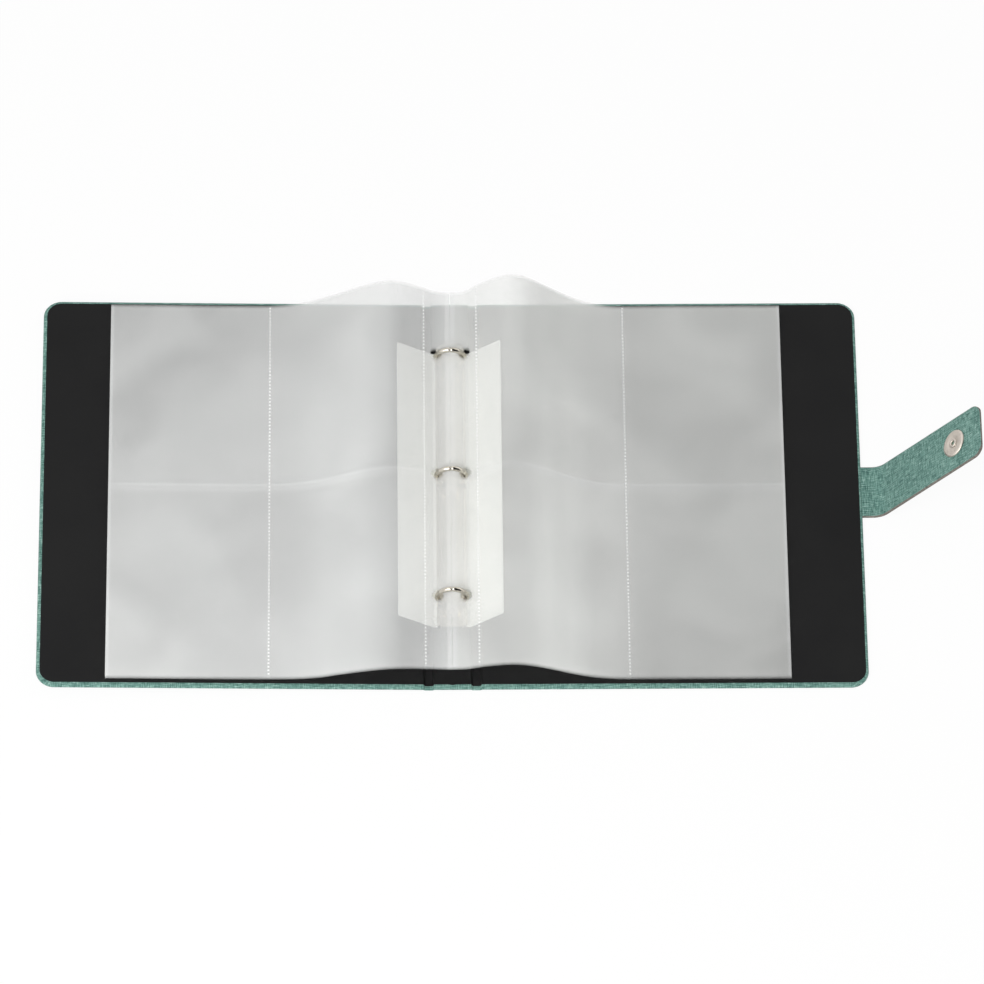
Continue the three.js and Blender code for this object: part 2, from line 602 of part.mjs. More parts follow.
// Pocket leaf: two films welded round four pockets, two above two, each open along its upper edge
function leafGeometry(side, leaf, tilt) {
  const pocket = (LEAF_WIDTH - BINDING_MARGIN - WELD - EDGE_WELD) / 2;
  const columnFilm = [0, pocket, pocket + WELD, 2 * pocket + WELD, 2 * pocket + WELD + EDGE_WELD];
  const [start, firstEnd, secondStart, secondEnd, outer] = columnFilm.map(
    (length) => leafReach(side, BINDING_MARGIN + length, tilt),
  );
  const columns = [[start, firstEnd], [secondStart, secondEnd]];
  const inner = [LEAF_GUTTER, BINDING_MARGIN / 3, (2 * BINDING_MARGIN) / 3];
  const bent = [];
  for (let x = start; x < firstEnd - LEAF_STEP / 2; x += LEAF_STEP) bent.push(x);
  const xs = [...inner, ...bent, firstEnd, secondStart, secondEnd, outer];
  const foot = -LEAF_HEIGHT / 2;
  const head = LEAF_HEIGHT / 2;
  const lower = [foot + EDGE_WELD, BINDING_Y - WELD / 2];
  const upper = [BINDING_Y + WELD / 2, head];
  const ys = [foot, ...lower, ...upper];
  const half = POCKET_SLOT / 2;
  const cutters = columns.flatMap(([x0, x1]) => {
    const span = xs.filter((x) => x >= x0 && x <= x1);
    const top = curvedSheet(side, leaf, span, [...upper, head + 1], -half, half, tilt);
    const bottom = curvedSheet(side, leaf, span, lower, -half, half, tilt);
    const mouth = curvedSheet(side, leaf, span, [lower[1] - POCKET_MOUTH, lower[1]], 0, LEAF_THICKNESS, tilt);
    return [top, bottom, mouth];
  });
  const punches = RING_Y.map((y) => disc(PUNCH_RADIUS, 0, 2 * RING_CENTRE_Z, side * PUNCH_X, y, 14));
  const sheet = curvedSheet(side, leaf, xs, ys, -LEAF_THICKNESS / 2, LEAF_THICKNESS / 2, tilt);
  return cut(sheet, ...cutters, ...punches);
}

// Strap: where its fold line must stand so that the snap meets its socket on the closed album
const closedFoldZ = CLOSED_THICKNESS + SOCKET_HEIGHT + SNAP_GAP + SNAP_DISC + LAYER_GAP;
const bendMiddle = bendPoint(STRAP_ANGLE / 2, 0);
const bendLeftAfterMiddle = STRAP_BEND_RADIUS * Math.sin(rad(STRAP_ANGLE / 2));
const bridgeStraight = closedFoldZ - STRAP_MID_Z - bendMiddle[1] - bendLeftAfterMiddle;
const closedFoldX = FORE_EDGE_X + STRAP_FLAT + bendMiddle[0]
  + STRAP_BEND_RADIUS * (1 - Math.cos(rad(STRAP_ANGLE / 2))) - STRAP_THICKNESS / 2;
const socketX = closedFoldX - SNAP_FROM_FOLD;
const socketDistance = socketX - HINGE_X;

// The front cover rests on the socket, so it lies at a small tilt
const restArm = socketDistance - (SNAP_DIAMETER / 2 - SNAP_BEVEL);
const restDrop = SOCKET_HEIGHT + HINGE_Z;
const frontTilt = Math.atan2(restDrop, restArm) - Math.asin(HINGE_Z / Math.hypot(restArm, restDrop));

function buildCase() {
  addPiece(album, 'spine_cloth', spineCloth(), linen);
  addPiece(album, 'spine_board', spineBoard(), greyboard);
  addPiece(album, 'spine_lining', spineLining(), blackPaper);

  const back = new THREE.Group();
  back.position.set(HINGE_X, 0, 0);
  album.add(back);
  const slot = strapNotch(HOLE_CLEARANCE);
  addPiece(back, 'back_cloth', cut(coverCloth(1), slot), linen);
  addPiece(back, 'back_board', cut(coverBoard(1), slot), greyboard);
  addPiece(back, 'back_lining', coverLining(1), blackPaper);

  const front = new THREE.Group();
  front.position.set(-HINGE_X, 0, HINGE_Z);
  front.rotation.y = frontTilt;
  album.add(front);
  const post = disc(SOCKET_POST + HOLE_CLEARANCE, -1, LINING_BOTTOM, -socketDistance, 0);
  const lay = (geometry) => geometry.translate(0, 0, -HINGE_Z);
  addPiece(front, 'front_cloth', lay(cut(coverCloth(-1), post)), linen);
  addPiece(front, 'front_board', lay(cut(coverBoard(-1), post)), greyboard);
  addPiece(front, 'front_lining', lay(coverLining(-1)), blackPaper);
  const onSocket = (geometry) => lay(geometry.translate(-socketDistance, 0, 0));
  addPiece(front, 'snap_socket_base', onSocket(socketBase()), nickel);
  addPiece(front, 'snap_socket_magnet', onSocket(socketMagnet()), magnet);
  addPiece(front, 'snap_socket_cup', onSocket(socketCup()), nickel);
}

function buildStrap() {
  const bendX = FORE_EDGE_X + STRAP_FLAT;
  const anchor = addPiece(album, 'strap_anchor', strapAnchor(), linen);
  anchor.position.set(bendX, 0, STRAP_MID_Z);
  const bridge = addPiece(album, 'strap_bridge', strapBridge(bridgeStraight), linen);
  bridge.position.set(bendX, 0, STRAP_MID_Z);

  const [endX, endZ] = bendPoint(STRAP_ANGLE, STRAP_THICKNESS / 2);
  const tip = new THREE.Group();
  tip.position.set(
    bendX + endX + bridgeStraight * Math.cos(rad(STRAP_ANGLE)),
    0,
    STRAP_MID_Z + endZ + bridgeStraight * Math.sin(rad(STRAP_ANGLE)),
  );
  tip.rotation.y = -rad(STRAP_ANGLE);
  album.add(tip);
  addPiece(tip, 'strap_tip', strapTip(), linen);
  addPiece(tip, 'snap_disc', snapDisc().translate(SNAP_FROM_FOLD, 0, 0), nickel);
  addPiece(tip, 'snap_rivet', snapRivet().translate(SNAP_FROM_FOLD, 0, 0), nickel);
}

function buildBinding() {
  addPiece(album, 'lifter_base', lifterBase(), whitePlastic);
  for (const [word, side, angle] of [['left', -1, LEFT_WING_ANGLE], ['right', 1, RIGHT_WING_ANGLE]]) {
    const wing = addPiece(album, `lifter_wing_${word}`, lifterWing(side), whitePlastic);
    wing.position.set(side * LIFTER_FOLD_X, BINDING_Y, COVER_THICKNESS + LIFTER_SHEET / 2);
    wing.rotation.y = -side * rad(angle);
    addPiece(album, `blade_${word}`, blade(side), nickel);
    RING_Y.forEach((y, i) => addPiece(album, `half_ring_${word}_${i + 1}`, halfRing(side, y), nickel));
  }
  addPiece(album, 'ring_cover_plate', coverPlate(), nickel);
  RIVET_Y.forEach((y, i) => addPiece(album, `rivet_${i + 1}`, rivet(y), nickel));
}

function buildLeaves() {
  for (const [word, side] of [['left', -1], ['right', 1]]) {
    for (let leaf = 0; leaf < LEAVES_PER_SIDE; leaf += 1) {
      addPiece(album, `leaf_${word}_${leaf + 1}`, leafGeometry(side, leaf, frontTilt), film);
    }
  }
}

buildCase();
buildStrap();
buildBinding();
buildLeaves();

export default album;
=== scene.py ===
"""Ring photo album, open and face up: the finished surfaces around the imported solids.

Lengths are in millimetres here and become metres when a mesh is made. +X runs from the spine
to the strap, +Y towards the head of the pages, +Z up.
"""
import json
import math

import bmesh
import bpy
import numpy as np
from mathutils import Matrix, Vector


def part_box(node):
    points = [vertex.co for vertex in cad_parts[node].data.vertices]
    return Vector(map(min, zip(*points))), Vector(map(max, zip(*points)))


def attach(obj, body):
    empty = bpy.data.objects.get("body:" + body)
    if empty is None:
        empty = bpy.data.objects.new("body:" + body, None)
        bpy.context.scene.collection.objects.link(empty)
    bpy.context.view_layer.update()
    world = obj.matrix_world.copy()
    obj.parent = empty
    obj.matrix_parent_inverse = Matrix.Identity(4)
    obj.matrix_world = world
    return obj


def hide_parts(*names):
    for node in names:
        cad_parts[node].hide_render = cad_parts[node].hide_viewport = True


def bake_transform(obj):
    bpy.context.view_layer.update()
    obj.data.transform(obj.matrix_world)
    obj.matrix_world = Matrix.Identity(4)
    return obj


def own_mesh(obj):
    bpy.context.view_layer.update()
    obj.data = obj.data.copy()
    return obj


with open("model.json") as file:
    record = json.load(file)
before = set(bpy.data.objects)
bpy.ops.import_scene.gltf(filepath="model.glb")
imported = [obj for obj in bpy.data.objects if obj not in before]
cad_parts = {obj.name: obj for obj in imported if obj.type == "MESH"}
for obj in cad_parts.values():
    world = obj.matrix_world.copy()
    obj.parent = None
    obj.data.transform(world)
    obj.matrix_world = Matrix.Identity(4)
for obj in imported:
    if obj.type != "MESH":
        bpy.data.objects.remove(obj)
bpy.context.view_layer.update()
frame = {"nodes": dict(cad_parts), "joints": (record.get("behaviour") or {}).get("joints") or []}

MM = 0.001
SIDES = {"left": -1, "right": 1}


def node_box(node):
    """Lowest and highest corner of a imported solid, in millimetres."""
    low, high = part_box(node)
    return np.array(low) / MM, np.array(high) / MM


def joint_place(name):
    """Where a joint's axis stands, in metres as the frame gives it."""
    return np.array(next(j for j in frame["joints"] if j["name"] == name)["pos_m"])


# Case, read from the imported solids
HALF_HEIGHT, CASE_THICK = node_box("spine_cloth")[1][1:]
FORE_EDGE = node_box("back_cloth")[1][0]
HINGE_X, _, HINGE_Z = np.abs(joint_place("front_cover_hinge")) / MM
BOARD_EDGE_SPINE = node_box("spine_board")[1][0]
BOARD_EDGE_COVER = node_box("back_board")[0][0]
FRONT_TOP = node_box("front_cloth")[1][2]
FRONT_TILT = math.asin((FRONT_TOP - CASE_THICK) / (FORE_EDGE - HINGE_X))
# Case, as its cloth and lining finish it
CORNER_RADIUS = 9.0
CLOTH_THICK = 0.35
GROOVE_THICK = 0.85
GROOVE_SLOPE = 1.1
TURN_IN = 1.75
PLEAT_HEIGHT = 0.1
LINING_THICK = 0.3
# how far the glued lining sits off the middle of its cover, towards the fore edge and the head
LINING_SHIFT = {"front": (0.0, 0.4), "back": (0.75, 0.4)}

# Rings
RING_BOXES = [node_box(f"half_ring_right_{i}") for i in (1, 2, 3)]
RING_Y = [(low[1] + high[1]) / 2 for low, high in RING_BOXES]
RING_WIRE = RING_BOXES[0][1][1] - RING_BOXES[0][0][1]
RING_RADIUS = RING_BOXES[0][1][0] - RING_WIRE / 2
RING_CENTRE_Z = RING_BOXES[0][1][2] - RING_RADIUS - RING_WIRE / 2
RING_FOOT_X = 4.4
RING_FOOT_Z = node_box("blade_right")[1][2]
RING_KNEE = 1.2
RING_KNEE_TURN = 0.12
RING_SEAM_TURN = 0.006

# Sheet lifter
LIFTER_SHEET = 0.4
LIFTER_WING = 20.5
LIFTER_CORNER = 1.0
LIFTER_BEND = 0.5

# Strap and snap
STRAP_WIDTH = 29.0
STRAP_THICK = 1.5
STRAP_FLAT = 5.0
STRAP_ANGLE = math.radians(51)
STRAP_BEND_RADIUS = 9.0
STRAP_TIP_LENGTH = 46.0
STRAP_CORNER = 5.5
STRAP_STEP = 0.8
STITCH_INSET = 2.0
STITCH_PITCH = 3.1
STITCH_LENGTH = 2.3
STITCH_THREAD = 0.24
SNAP_FROM_FOLD = 27.4
SNAP_RADIUS = 7.15

# Leaves. Distances are from the gutter or from the leaf's rim
LEAF_COUNT = 4
LEAF_HEAD = node_box("leaf_left_1")[1][1]
LEAF_INNER = 0.03
LEAF_MARGIN = 13.0
LEAF_MIDDLE = {"left": 89.2, "right": 86.0}
RIM_WELD = 2.5
POCKET_FOOT_Y = 2.2
MOUTH_GAP = 2.4
HEAD_MOUTH = 4.0
SWELL_REACH = 12.0
FILM_HALF = 0.09
FILM_SWELL = 0.11
FILM_DRIFT = 0.06
FILM_STEP = 0.07
WELD_HALF = 0.5
MOUTH_HALF = 0.3
GUTTER_EDGE = 1.4
RIM_EDGE = 1.2
DOT_PITCH = 2.0
DOT_PROFILE = [(0, -0.12), (0.48, -0.12), (0.43, 0.1), (0.24, 0.19), (0, 0.2)]
PUNCH_X = 6.9
PUNCH_RADIUS = 2.9
PUNCH_LOW = 4.0
PUNCH_HEIGHT = 32.0

# Film haze: (distance from the gutter, share of light that one film surface stops), with painted
# light and shade across the page
HAZE_REACH = 180.0
# painted light: how much the haze rises towards two opposite corners of the stacks, and over what
# distances
PAINTED_LIGHT_SPREAD = 0.11
PAINTED_LIGHT_CORNER = (150.0, 75.0)
# painted light and shade: the shares peak over the hump's slopes, about 45 to 60 mm out, and dip
# about 25 mm from the gutter
HAZE_AND_PAINTED_LIGHT = {
    "left": [(0, .165), (12, .130), (24, .118), (31, .152),
             (44, .195), (62, .198), (76, .170), (115, .157)],
    "right": [(0, .155), (12, .130), (25, .121), (37, .155),
              (47, .224), (58, .228), (69, .161), (90, .111)],
}
# painted shade: the left stack's copy of the same film is a shade darker than the right's
FILM_TONE_LIT_PER_STACK = {"left": "#eaebea", "right": "#f0f1ef"}

# Camera, fitted to the outline of the open album
IMAGE = 984
CAMERA_DISTANCE = 4130.0
CAMERA_ELEVATION = math.radians(57.0)
CAMERA_AZIMUTH = math.radians(1.147)
CAMERA_ROLL = math.radians(0.668)
PIXELS_PER_MM = 2.032
CAMERA_TARGET = (20.2, 2.29, 0.0)


# Colour and node helpers

def srgb(text):
    """Linear colour of an sRGB hex value."""
    parts = [int(text[i:i + 2], 16) / 255 for i in (1, 3, 5)]
    return (*[c / 12.92 if c <= 0.04045 else ((c + 0.055) / 1.055) ** 2.4 for c in parts], 1.0)


def plug(tree, node, **inputs):
    """Link a node's inputs to output sockets, or set them to plain values.

    An input is given by its name, with spaces as underscores, or as in_ and its number.
    """
    for key, value in inputs.items():
        numbered = key.startswith("in_")
        socket = node.inputs[int(key[3:]) if numbered else key.replace("_", " ")]
        if isinstance(value, bpy.types.NodeSocket):
            tree.links.new(value, socket)
        else:
            socket.default_value = value


def add_node(tree, kind, settings=None, **inputs):
    """Add a node, set its properties and plug its inputs."""
    node = tree.nodes.new(kind)
    for key, value in (settings or {}).items():
        setattr(node, key, value)
    plug(tree, node, **inputs)
    return node


def calculate(tree, operation, *values):
    """Output of a math node on two or three values."""
    inputs = {f"in_{i}": value for i, value in enumerate(values)}
    return add_node(tree, "ShaderNodeMath", {"operation": operation}, **inputs).outputs[0]


def blended(tree, share, first, second):
    """Two values mixed, with a share of the second."""
    return add_node(tree, "ShaderNodeMix", {"data_type": "FLOAT"},
                    in_0=share, in_2=first, in_3=second).outputs[0]


def noise(tree, where, size, detail, settings=None, **more):
    """Noise in patches of a size in mm."""
    return add_node(tree, "ShaderNodeTexNoise", settings, Vector=where,
                    Scale=1 / (size * MM), Detail=detail, **more).outputs["Fac"]


def waves(tree, where, pitch, direction, **more):
    """Bands a pitch apart in mm. The texture's phase is 20 times its scale times the place."""
    settings = {"wave_type": "BANDS", "bands_direction": direction}
    return add_node(tree, "ShaderNodeTexWave", settings, Vector=where,
                    Scale=2 * math.pi / (20 * pitch * MM), **more).outputs["Fac"]


def bump(tree, height, strength, depth):
    """Normal over a height whose full range is a depth in mm."""
    return add_node(tree, "ShaderNodeBump", Height=height, Strength=strength,
                    Distance=depth * MM).outputs["Normal"]


def ramp(tree, factor, stops):
    """Colour ramp with (position, colour) stops."""
    node = add_node(tree, "ShaderNodeValToRGB", Fac=factor)
    elements = node.color_ramp.elements
    while len(elements) < len(stops):
        elements.new(0.5)
    for element, (position, colour) in zip(elements, stops):
        element.position = position
        element.color = colour
    return node.outputs["Color"]


def shades(tree, factor, dark, light, low=0.3, high=0.7):
    """Colour from a dark to a light shade, between two levels of the factor."""
    return ramp(tree, factor, [(low, srgb(dark)), (high, srgb(light))])


def new_material(name):
    """Material with its node tree and its shader."""
    material = bpy.data.materials.new(name)
    material.use_nodes = True
    return material, material.node_tree, material.node_tree.nodes["Principled BSDF"]


def object_place(tree):
    return add_node(tree, "ShaderNodeTexCoord").outputs["Object"]


# Materials

def linen_cloth():
    """Book cloth printed and woven like linen: two sets of threads with bands a millimetre apart
    and thick slubs, which give the eye a fine cross-hatch of light and dark green."""
    material, tree, shader = new_material("linen book cloth")
    uv = add_node(tree, "ShaderNodeUVMap", {"uv_map": "cloth"}).outputs["UV"]
    slubs, bands = [], []
    # a slub is 4.6 mm long and as narrow as its thread, 0.5 mm
    for along, (wide, high) in enumerate([(0.5, 4.6), (4.6, 0.5)]):
        place = add_node(tree, "ShaderNodeMapping", {"vector_type": "POINT"}, Vector=uv,
                         Scale=(1 / wide, 1 / high, 1),
                         Location=(3.1 * MM * along, 7.7 * MM * along, 0)).outputs["Vector"]
        slubs.append(noise(tree, place, 1, 3.0, {"noise_dimensions": "2D"}, Roughness=0.62))
        turned = add_node(tree, "ShaderNodeMapping", {"vector_type": "POINT"}, Vector=uv,
                          Rotation=(0, 0, along * math.pi / 2)).outputs["Vector"]
        bands.append(waves(tree, turned, 1.0134, "X", Distortion=0.8, Detail=1.0))
    thread = blended(tree, 0.5, *slubs)
    cloud = noise(tree, uv, 14, 2.0, {"noise_dimensions": "2D"})
    woven = calculate(tree, "MULTIPLY", *bands)
    clouded = calculate(tree, "MULTIPLY_ADD", cloud, 0.10, thread)
    shade = calculate(tree, "MULTIPLY_ADD", woven, 0.07, clouded)
    colour = ramp(tree, shade, [(0.42, srgb("#385f58")), (0.53, srgb("#5a837a")),
                                (0.60, srgb("#6d988d")), (0.72, srgb("#a0c1b8"))])
    height = blended(tree, 0.35, thread, woven)
    plug(tree, shader, Base_Color=colour, Normal=bump(tree, height, 0.55, 0.25), Roughness=0.78,
         Specular_IOR_Level=0.35, Sheen_Weight=0.15)
    return material


def cut_edge():
    """Sealed cut edge of the strap: grey-brown core between the two cloths."""
    material, tree, shader = new_material("sealed strap edge")
    grain = noise(tree, object_place(tree), 1.2, 3.0)
    plug(tree, shader, Base_Color=shades(tree, grain, "#5f5b55", "#8a857d"), Roughness=0.7)
    return material


def lining_paper():
    """Uncoated black lining paper, pressed smooth: a deep matt black with faint fibre mottling."""
    material, tree, shader = new_material("black lining paper")
    where = object_place(tree)
    fibre = noise(tree, where, 0.5, 4.0, Roughness=0.7)
    mottle = blended(tree, 0.5, fibre, noise(tree, where, 40, 2.0))
    plug(tree, shader, Base_Color=shades(tree, mottle, "#0f0f10", "#171717", 0.35, 0.65),
         Normal=bump(tree, fibre, 0.35, 0.05), Roughness=0.8, Specular_IOR_Level=0.25)
    return material


def greyboard():
    """Grey bookbinding board, rolled from waste paper: flecked and matt."""
    material, tree, shader = new_material("grey binding board")
    fleck = noise(tree, object_place(tree), 0.8, 4.0)
    plug(tree, shader, Base_Color=shades(tree, fleck, "#7d786c", "#9a9588"), Roughness=0.95)
    return material


def nickel(name, roughness, light, dark):
    """Nickel-plated steel: warm grey mirror with faint handling marks in its gloss."""
    material, tree, shader = new_material(name)
    marks = noise(tree, object_place(tree), 1.5, 4.0, Roughness=0.6)
    gloss = add_node(tree, "ShaderNodeMapRange", Value=marks,
                     To_Min=roughness * 0.7, To_Max=roughness * 1.3).outputs["Result"]
    plug(tree, shader, Base_Color=shades(tree, marks, dark, light), Roughness=gloss, Metallic=1.0)
    return material


def ferrite():
    """Sintered ferrite magnet: near-black and dull."""
    material, tree, shader = new_material("sintered ferrite")
    grit = noise(tree, object_place(tree), 0.3, 3.0)
    plug(tree, shader, Base_Color=shades(tree, grit, "#242426", "#3a3a3d"), Roughness=0.6)
    return material


def white_polypropylene():
    """White extruded polypropylene sheet: satin, with the faint haze of its rollers."""
    material, tree, shader = new_material("white polypropylene sheet")
    haze = noise(tree, object_place(tree), 0.4, 2.0)
    plug(tree, shader, Base_Color=shades(tree, haze, "#e2e3dd", "#eaebe6"),
         Normal=bump(tree, haze, 0.2, 0.02), Roughness=0.42)
    return material


def sewing_thread():
    """Matt polyester sewing thread, a shade greyer than the cloth, with a painted glint along its
    twisted plies.
    """
    material, tree, shader = new_material("polyester sewing thread")
    # painted highlight: light and dark diagonal bands for the glint on the twisted plies
    twist_glint = waves(tree, object_place(tree), 0.7094, "DIAGONAL")
    plug(tree, shader, Base_Color=shades(tree, twist_glint, "#6f958c", "#8db0a7", 0.2, 0.8), Roughness=0.6)
    return material


def milky_film(name, haze_and_light_stops, tone, gain=1.0):
    """Cast polypropylene film with a matt haze: it veils what lies under it and goes whiter with
    each leaf in the stack, with slow clouds where air lifts the films, which also stand in for its
    broad sheen as painted light. Its haze is painted higher on the hump's slopes, lower near the
    gutter and a little higher towards two corners, as painted light and shade. Welds are the same
    film, fused: a gain over 1 and a whiter tone.
    """
    material, tree, shader = new_material(name)
    where = object_place(tree)
    ripple = noise(tree, where, 26, 2.0, Roughness=0.4)
    place = add_node(tree, "ShaderNodeSeparateXYZ", Vector=where)
    away = calculate(tree, "ABSOLUTE", place.outputs["X"])
    share = calculate(tree, "DIVIDE", away, HAZE_REACH * MM)
    stops = [(x / HAZE_REACH, (gain * h, gain * h, gain * h, 1)) for x, h in haze_and_light_stops]
    # haze across the page, painted higher on the hump's slopes and lower near the gutter as painted
    # light and shade
    haze = ramp(tree, share, stops)
    # slow clouds of haze where air lifts the films, which also paint in the film's broad, soft sheen
    cloud = noise(tree, where, 55, 1.5, Distortion=0.7)
    painted_sheen_clouds = add_node(tree, "ShaderNodeMapRange", Value=cloud,
                    From_Min=0.35, From_Max=0.65, To_Min=0.88, To_Max=1.12).outputs["Result"]
    # painted light: a little more haze, so a whiter film, towards the left stack's foot and the right
    # stack's head
    painted_light_place = calculate(tree, "MULTIPLY", place.outputs["X"], place.outputs["Y"])
    slope = PAINTED_LIGHT_SPREAD / (PAINTED_LIGHT_CORNER[0] * MM * PAINTED_LIGHT_CORNER[1] * MM)
    painted_light_scale = calculate(tree, "MULTIPLY_ADD", painted_light_place, slope, painted_sheen_clouds)
    plug(tree, shader, Base_Color=srgb(tone), Normal=bump(tree, ripple, 0.35, 1.5), Roughness=0.38,
         Specular_IOR_Level=0.4, Alpha=calculate(tree, "MULTIPLY", haze, painted_light_scale))
    return material


# Mesh helpers

def quads(rows, columns, close_rows=False, close_columns=False):
    """Corner numbers of the quads of a grid whose points are numbered row by row."""
    r, c = np.meshgrid(np.arange(rows if close_rows else rows - 1),
                       np.arange(columns if close_columns else columns - 1), indexing="ij")
    r1, c1 = (r + 1) % rows, (c + 1) % columns
    corners = [r * columns + c, r * columns + c1, r1 * columns + c1, r1 * columns + c]
    return np.stack(corners, -1).reshape(-1, 4)


def closed_tube(points):
    """Vertices and faces of a closed body from a grid of points, shape (stations, around, 3).

    Each station is one closed section. The first and last are capped with a point at their
    middle, and merging doubles later turns those quads into triangles.
    """
    ends = [np.repeat(points[i].mean(0)[None, None], points.shape[1], 1) for i in (0, -1)]
    points = np.concatenate([ends[0], points, ends[1]])
    return points.reshape(-1, 3), quads(points.shape[0], points.shape[1], close_columns=True)


def join(*bodies):
    """One vertex and face array from several closed bodies."""
    vertices, faces, count = [], [], 0
    for v, f in bodies:
        vertices.append(v)
        faces.append(f + count)
        count += len(v)
    return np.concatenate(vertices), np.concatenate(faces)


def outward(vertices, faces):
    """Faces turned round if the enclosed volume comes out negative."""
    p = vertices[faces]
    volume = sum(np.einsum("ij,ij->", p[:, 0], np.cross(p[:, a], p[:, b]))
                 for a, b in ((1, 2), (2, 3)))
    return faces if volume > 0 else faces[:, ::-1]


def make_piece(name, body, materials, uv=None, face_slots=None, sharp=40.0):
    """Mesh object at the origin from vertices in millimetres and quads, doubles merged."""
    vertices, faces = body
    faces = outward(vertices, faces)
    mesh = bpy.data.meshes.new(name)
    mesh.from_pydata((vertices * MM).tolist(), [], faces.tolist())
    if uv is not None:
        layer = mesh.uv_layers.new(name="cloth")
        corners = np.empty(len(mesh.loops), int)
        mesh.loops.foreach_get("vertex_index", corners)
        layer.data.foreach_set("uv", (uv[corners] * MM).astype(np.float32).ravel())
    for material in materials:
        mesh.materials.append(material)
    if face_slots is not None:
        mesh.polygons.foreach_set("material_index", face_slots.astype(np.int32))
    work = bmesh.new()
    work.from_mesh(mesh)
    bmesh.ops.remove_doubles(work, verts=work.verts, dist=1e-7)
    bmesh.ops.dissolve_degenerate(work, edges=work.edges, dist=1e-8)
    work.to_mesh(mesh)
    work.free()
    mesh.shade_smooth()
    mesh.set_sharp_from_angle(angle=math.radians(sharp))
    piece = bpy.data.objects.new(name, mesh)
    bpy.context.scene.collection.objects.link(piece)
    return piece


def smooth_step(x):
    """0 below 0, 1 above 1, and 3x2 - 2x3 between."""
    x = np.clip(x, 0, 1)
    return x * x * (3 - 2 * x)


def through(knots_x, knots_y, x):
    """Cubic curve through knots. The slope at a knot is the harmonic mean of its neighbours', so
    no span overshoots."""
    rise = np.diff(knots_y) / np.diff(knots_x)
    before, after = np.append(rise[:1], rise), np.append(rise, rise[-1:])
    total = before + after
    slopes = np.where(before * after > 0, 2 * before * after / np.where(total == 0, 1, total), 0)
    i = np.clip(np.searchsorted(knots_x, x) - 1, 0, len(knots_x) - 2)
    span = knots_x[i + 1] - knots_x[i]
    t = (x - knots_x[i]) / span
    return ((2 * t**3 - 3 * t**2 + 1) * knots_y[i] + (t**3 - 2 * t**2 + t) * span * slopes[i]
            + (3 * t**2 - 2 * t**3) * knots_y[i + 1] + (t**3 - t**2) * span * slopes[i + 1])


def bent(start, corner, end, t):
    """Points at t on the quadratic curve that leaves start and meets end towards the corner."""
    return (1 - t) ** 2 * start + 2 * t * (1 - t) * corner + t**2 * end


def around(count):
    """Angles of a full turn."""
    return np.linspace(0, 2 * math.pi, count, endpoint=False)


def revolved(profile, segments, closed=False):
    """Body turned about the z axis from (radius, height) points.

    The profile starts and ends on the axis, or is a closed loop beside it.
    """
    profile = np.array(profile, float)
    angle = around(segments)
    r, z = profile[:, :1], profile[:, 1:]
    points = np.stack([r * np.cos(angle), r * np.sin(angle), z + 0 * angle], -1)
    return points.reshape(-1, 3), quads(len(profile), segments, close_rows=closed, close_columns=True)


def rounded(profile, radius, steps=4):
    """(r, z) polyline whose inner corners are replaced by short quadratic curves."""
    profile = np.array(profile, float)
    out = [profile[0]]
    for a, b, c in zip(profile[:-2], profile[1:-1], profile[2:]):
        before, after = np.linalg.norm(a - b), np.linalg.norm(c - b)
        reach = min(radius, before * 0.45, after * 0.45)
        t = np.linspace(0, 1, steps + 1)[:, None]
        out.extend(bent(b + (a - b) / before * reach, b, b + (c - b) / after * reach, t))
    out.append(profile[-1])
    return np.array(out)


def tilt_front(points):
    """Turn the points left of the front hinge up by the angle at which that cover rests."""
    out = points.copy()
    left = points[..., 0] < -HINGE_X
    dx, dz = points[..., 0] + HINGE_X, points[..., 2] - HINGE_Z
    c, s = math.cos(FRONT_TILT), math.sin(FRONT_TILT)
    out[..., 0] = np.where(left, -HINGE_X + dx * c + dz * s, points[..., 0])
    out[..., 2] = np.where(left, HINGE_Z - dx * s + dz * c, points[..., 2])
    return out


# Case: cloth and lining

def case_thickness(x):
    """Thickness of the case at a distance x from its middle: boards with a pressed groove between."""
    into = smooth_step((x - BOARD_EDGE_SPINE) / GROOVE_SLOPE)
    out = smooth_step((BOARD_EDGE_COVER - x) / GROOVE_SLOPE)
    return CASE_THICK + (GROOVE_THICK - CASE_THICK) * np.minimum(into, out)


def cover_outline():
    """Half of the case in plan, from the spine's middle round the fore edge and back.

    Returns points, inward normals and the targets on the middle line that the surface runs to.
    """
    corner_x, corner_y = FORE_EDGE - CORNER_RADIUS, -HALF_HEIGHT + CORNER_RADIUS
    # few stations under the spine, close ones across the groove, then some 7 mm apart
    x = np.concatenate([
        np.linspace(0, BOARD_EDGE_SPINE - 0.6, 5),
        np.linspace(BOARD_EDGE_SPINE - 0.3, BOARD_EDGE_COVER + 0.3, 27),
        np.linspace(BOARD_EDGE_COVER + 2, corner_x, 26),
    ])
    low = np.stack([x, np.full_like(x, -HALF_HEIGHT)], -1)
    low_normal = np.tile([0.0, 1.0], (len(x), 1))
    angle = np.linspace(-math.pi / 2, 0, 15)[1:]
    corner = np.stack([np.cos(angle), np.sin(angle)], -1)
    side_y = np.linspace(corner_y, 0, 20)[1:]
    side = np.stack([np.full_like(side_y, FORE_EDGE), side_y], -1)
    side_normal = np.tile([-1.0, 0.0], (len(side_y), 1))
    points = np.concatenate([low, corner * CORNER_RADIUS + [corner_x, corner_y], side])
    normals = np.concatenate([low_normal, -corner, side_normal])
    mirror = np.array([1.0, -1.0])
    points = np.concatenate([points, points[:-1][::-1] * mirror])
    normals = np.concatenate([normals, normals[:-1][::-1] * mirror])
    targets = np.stack([np.minimum(points[:, 0], FORE_EDGE - 14), 0 * points[:, 0]], -1)
    return points, normals, targets


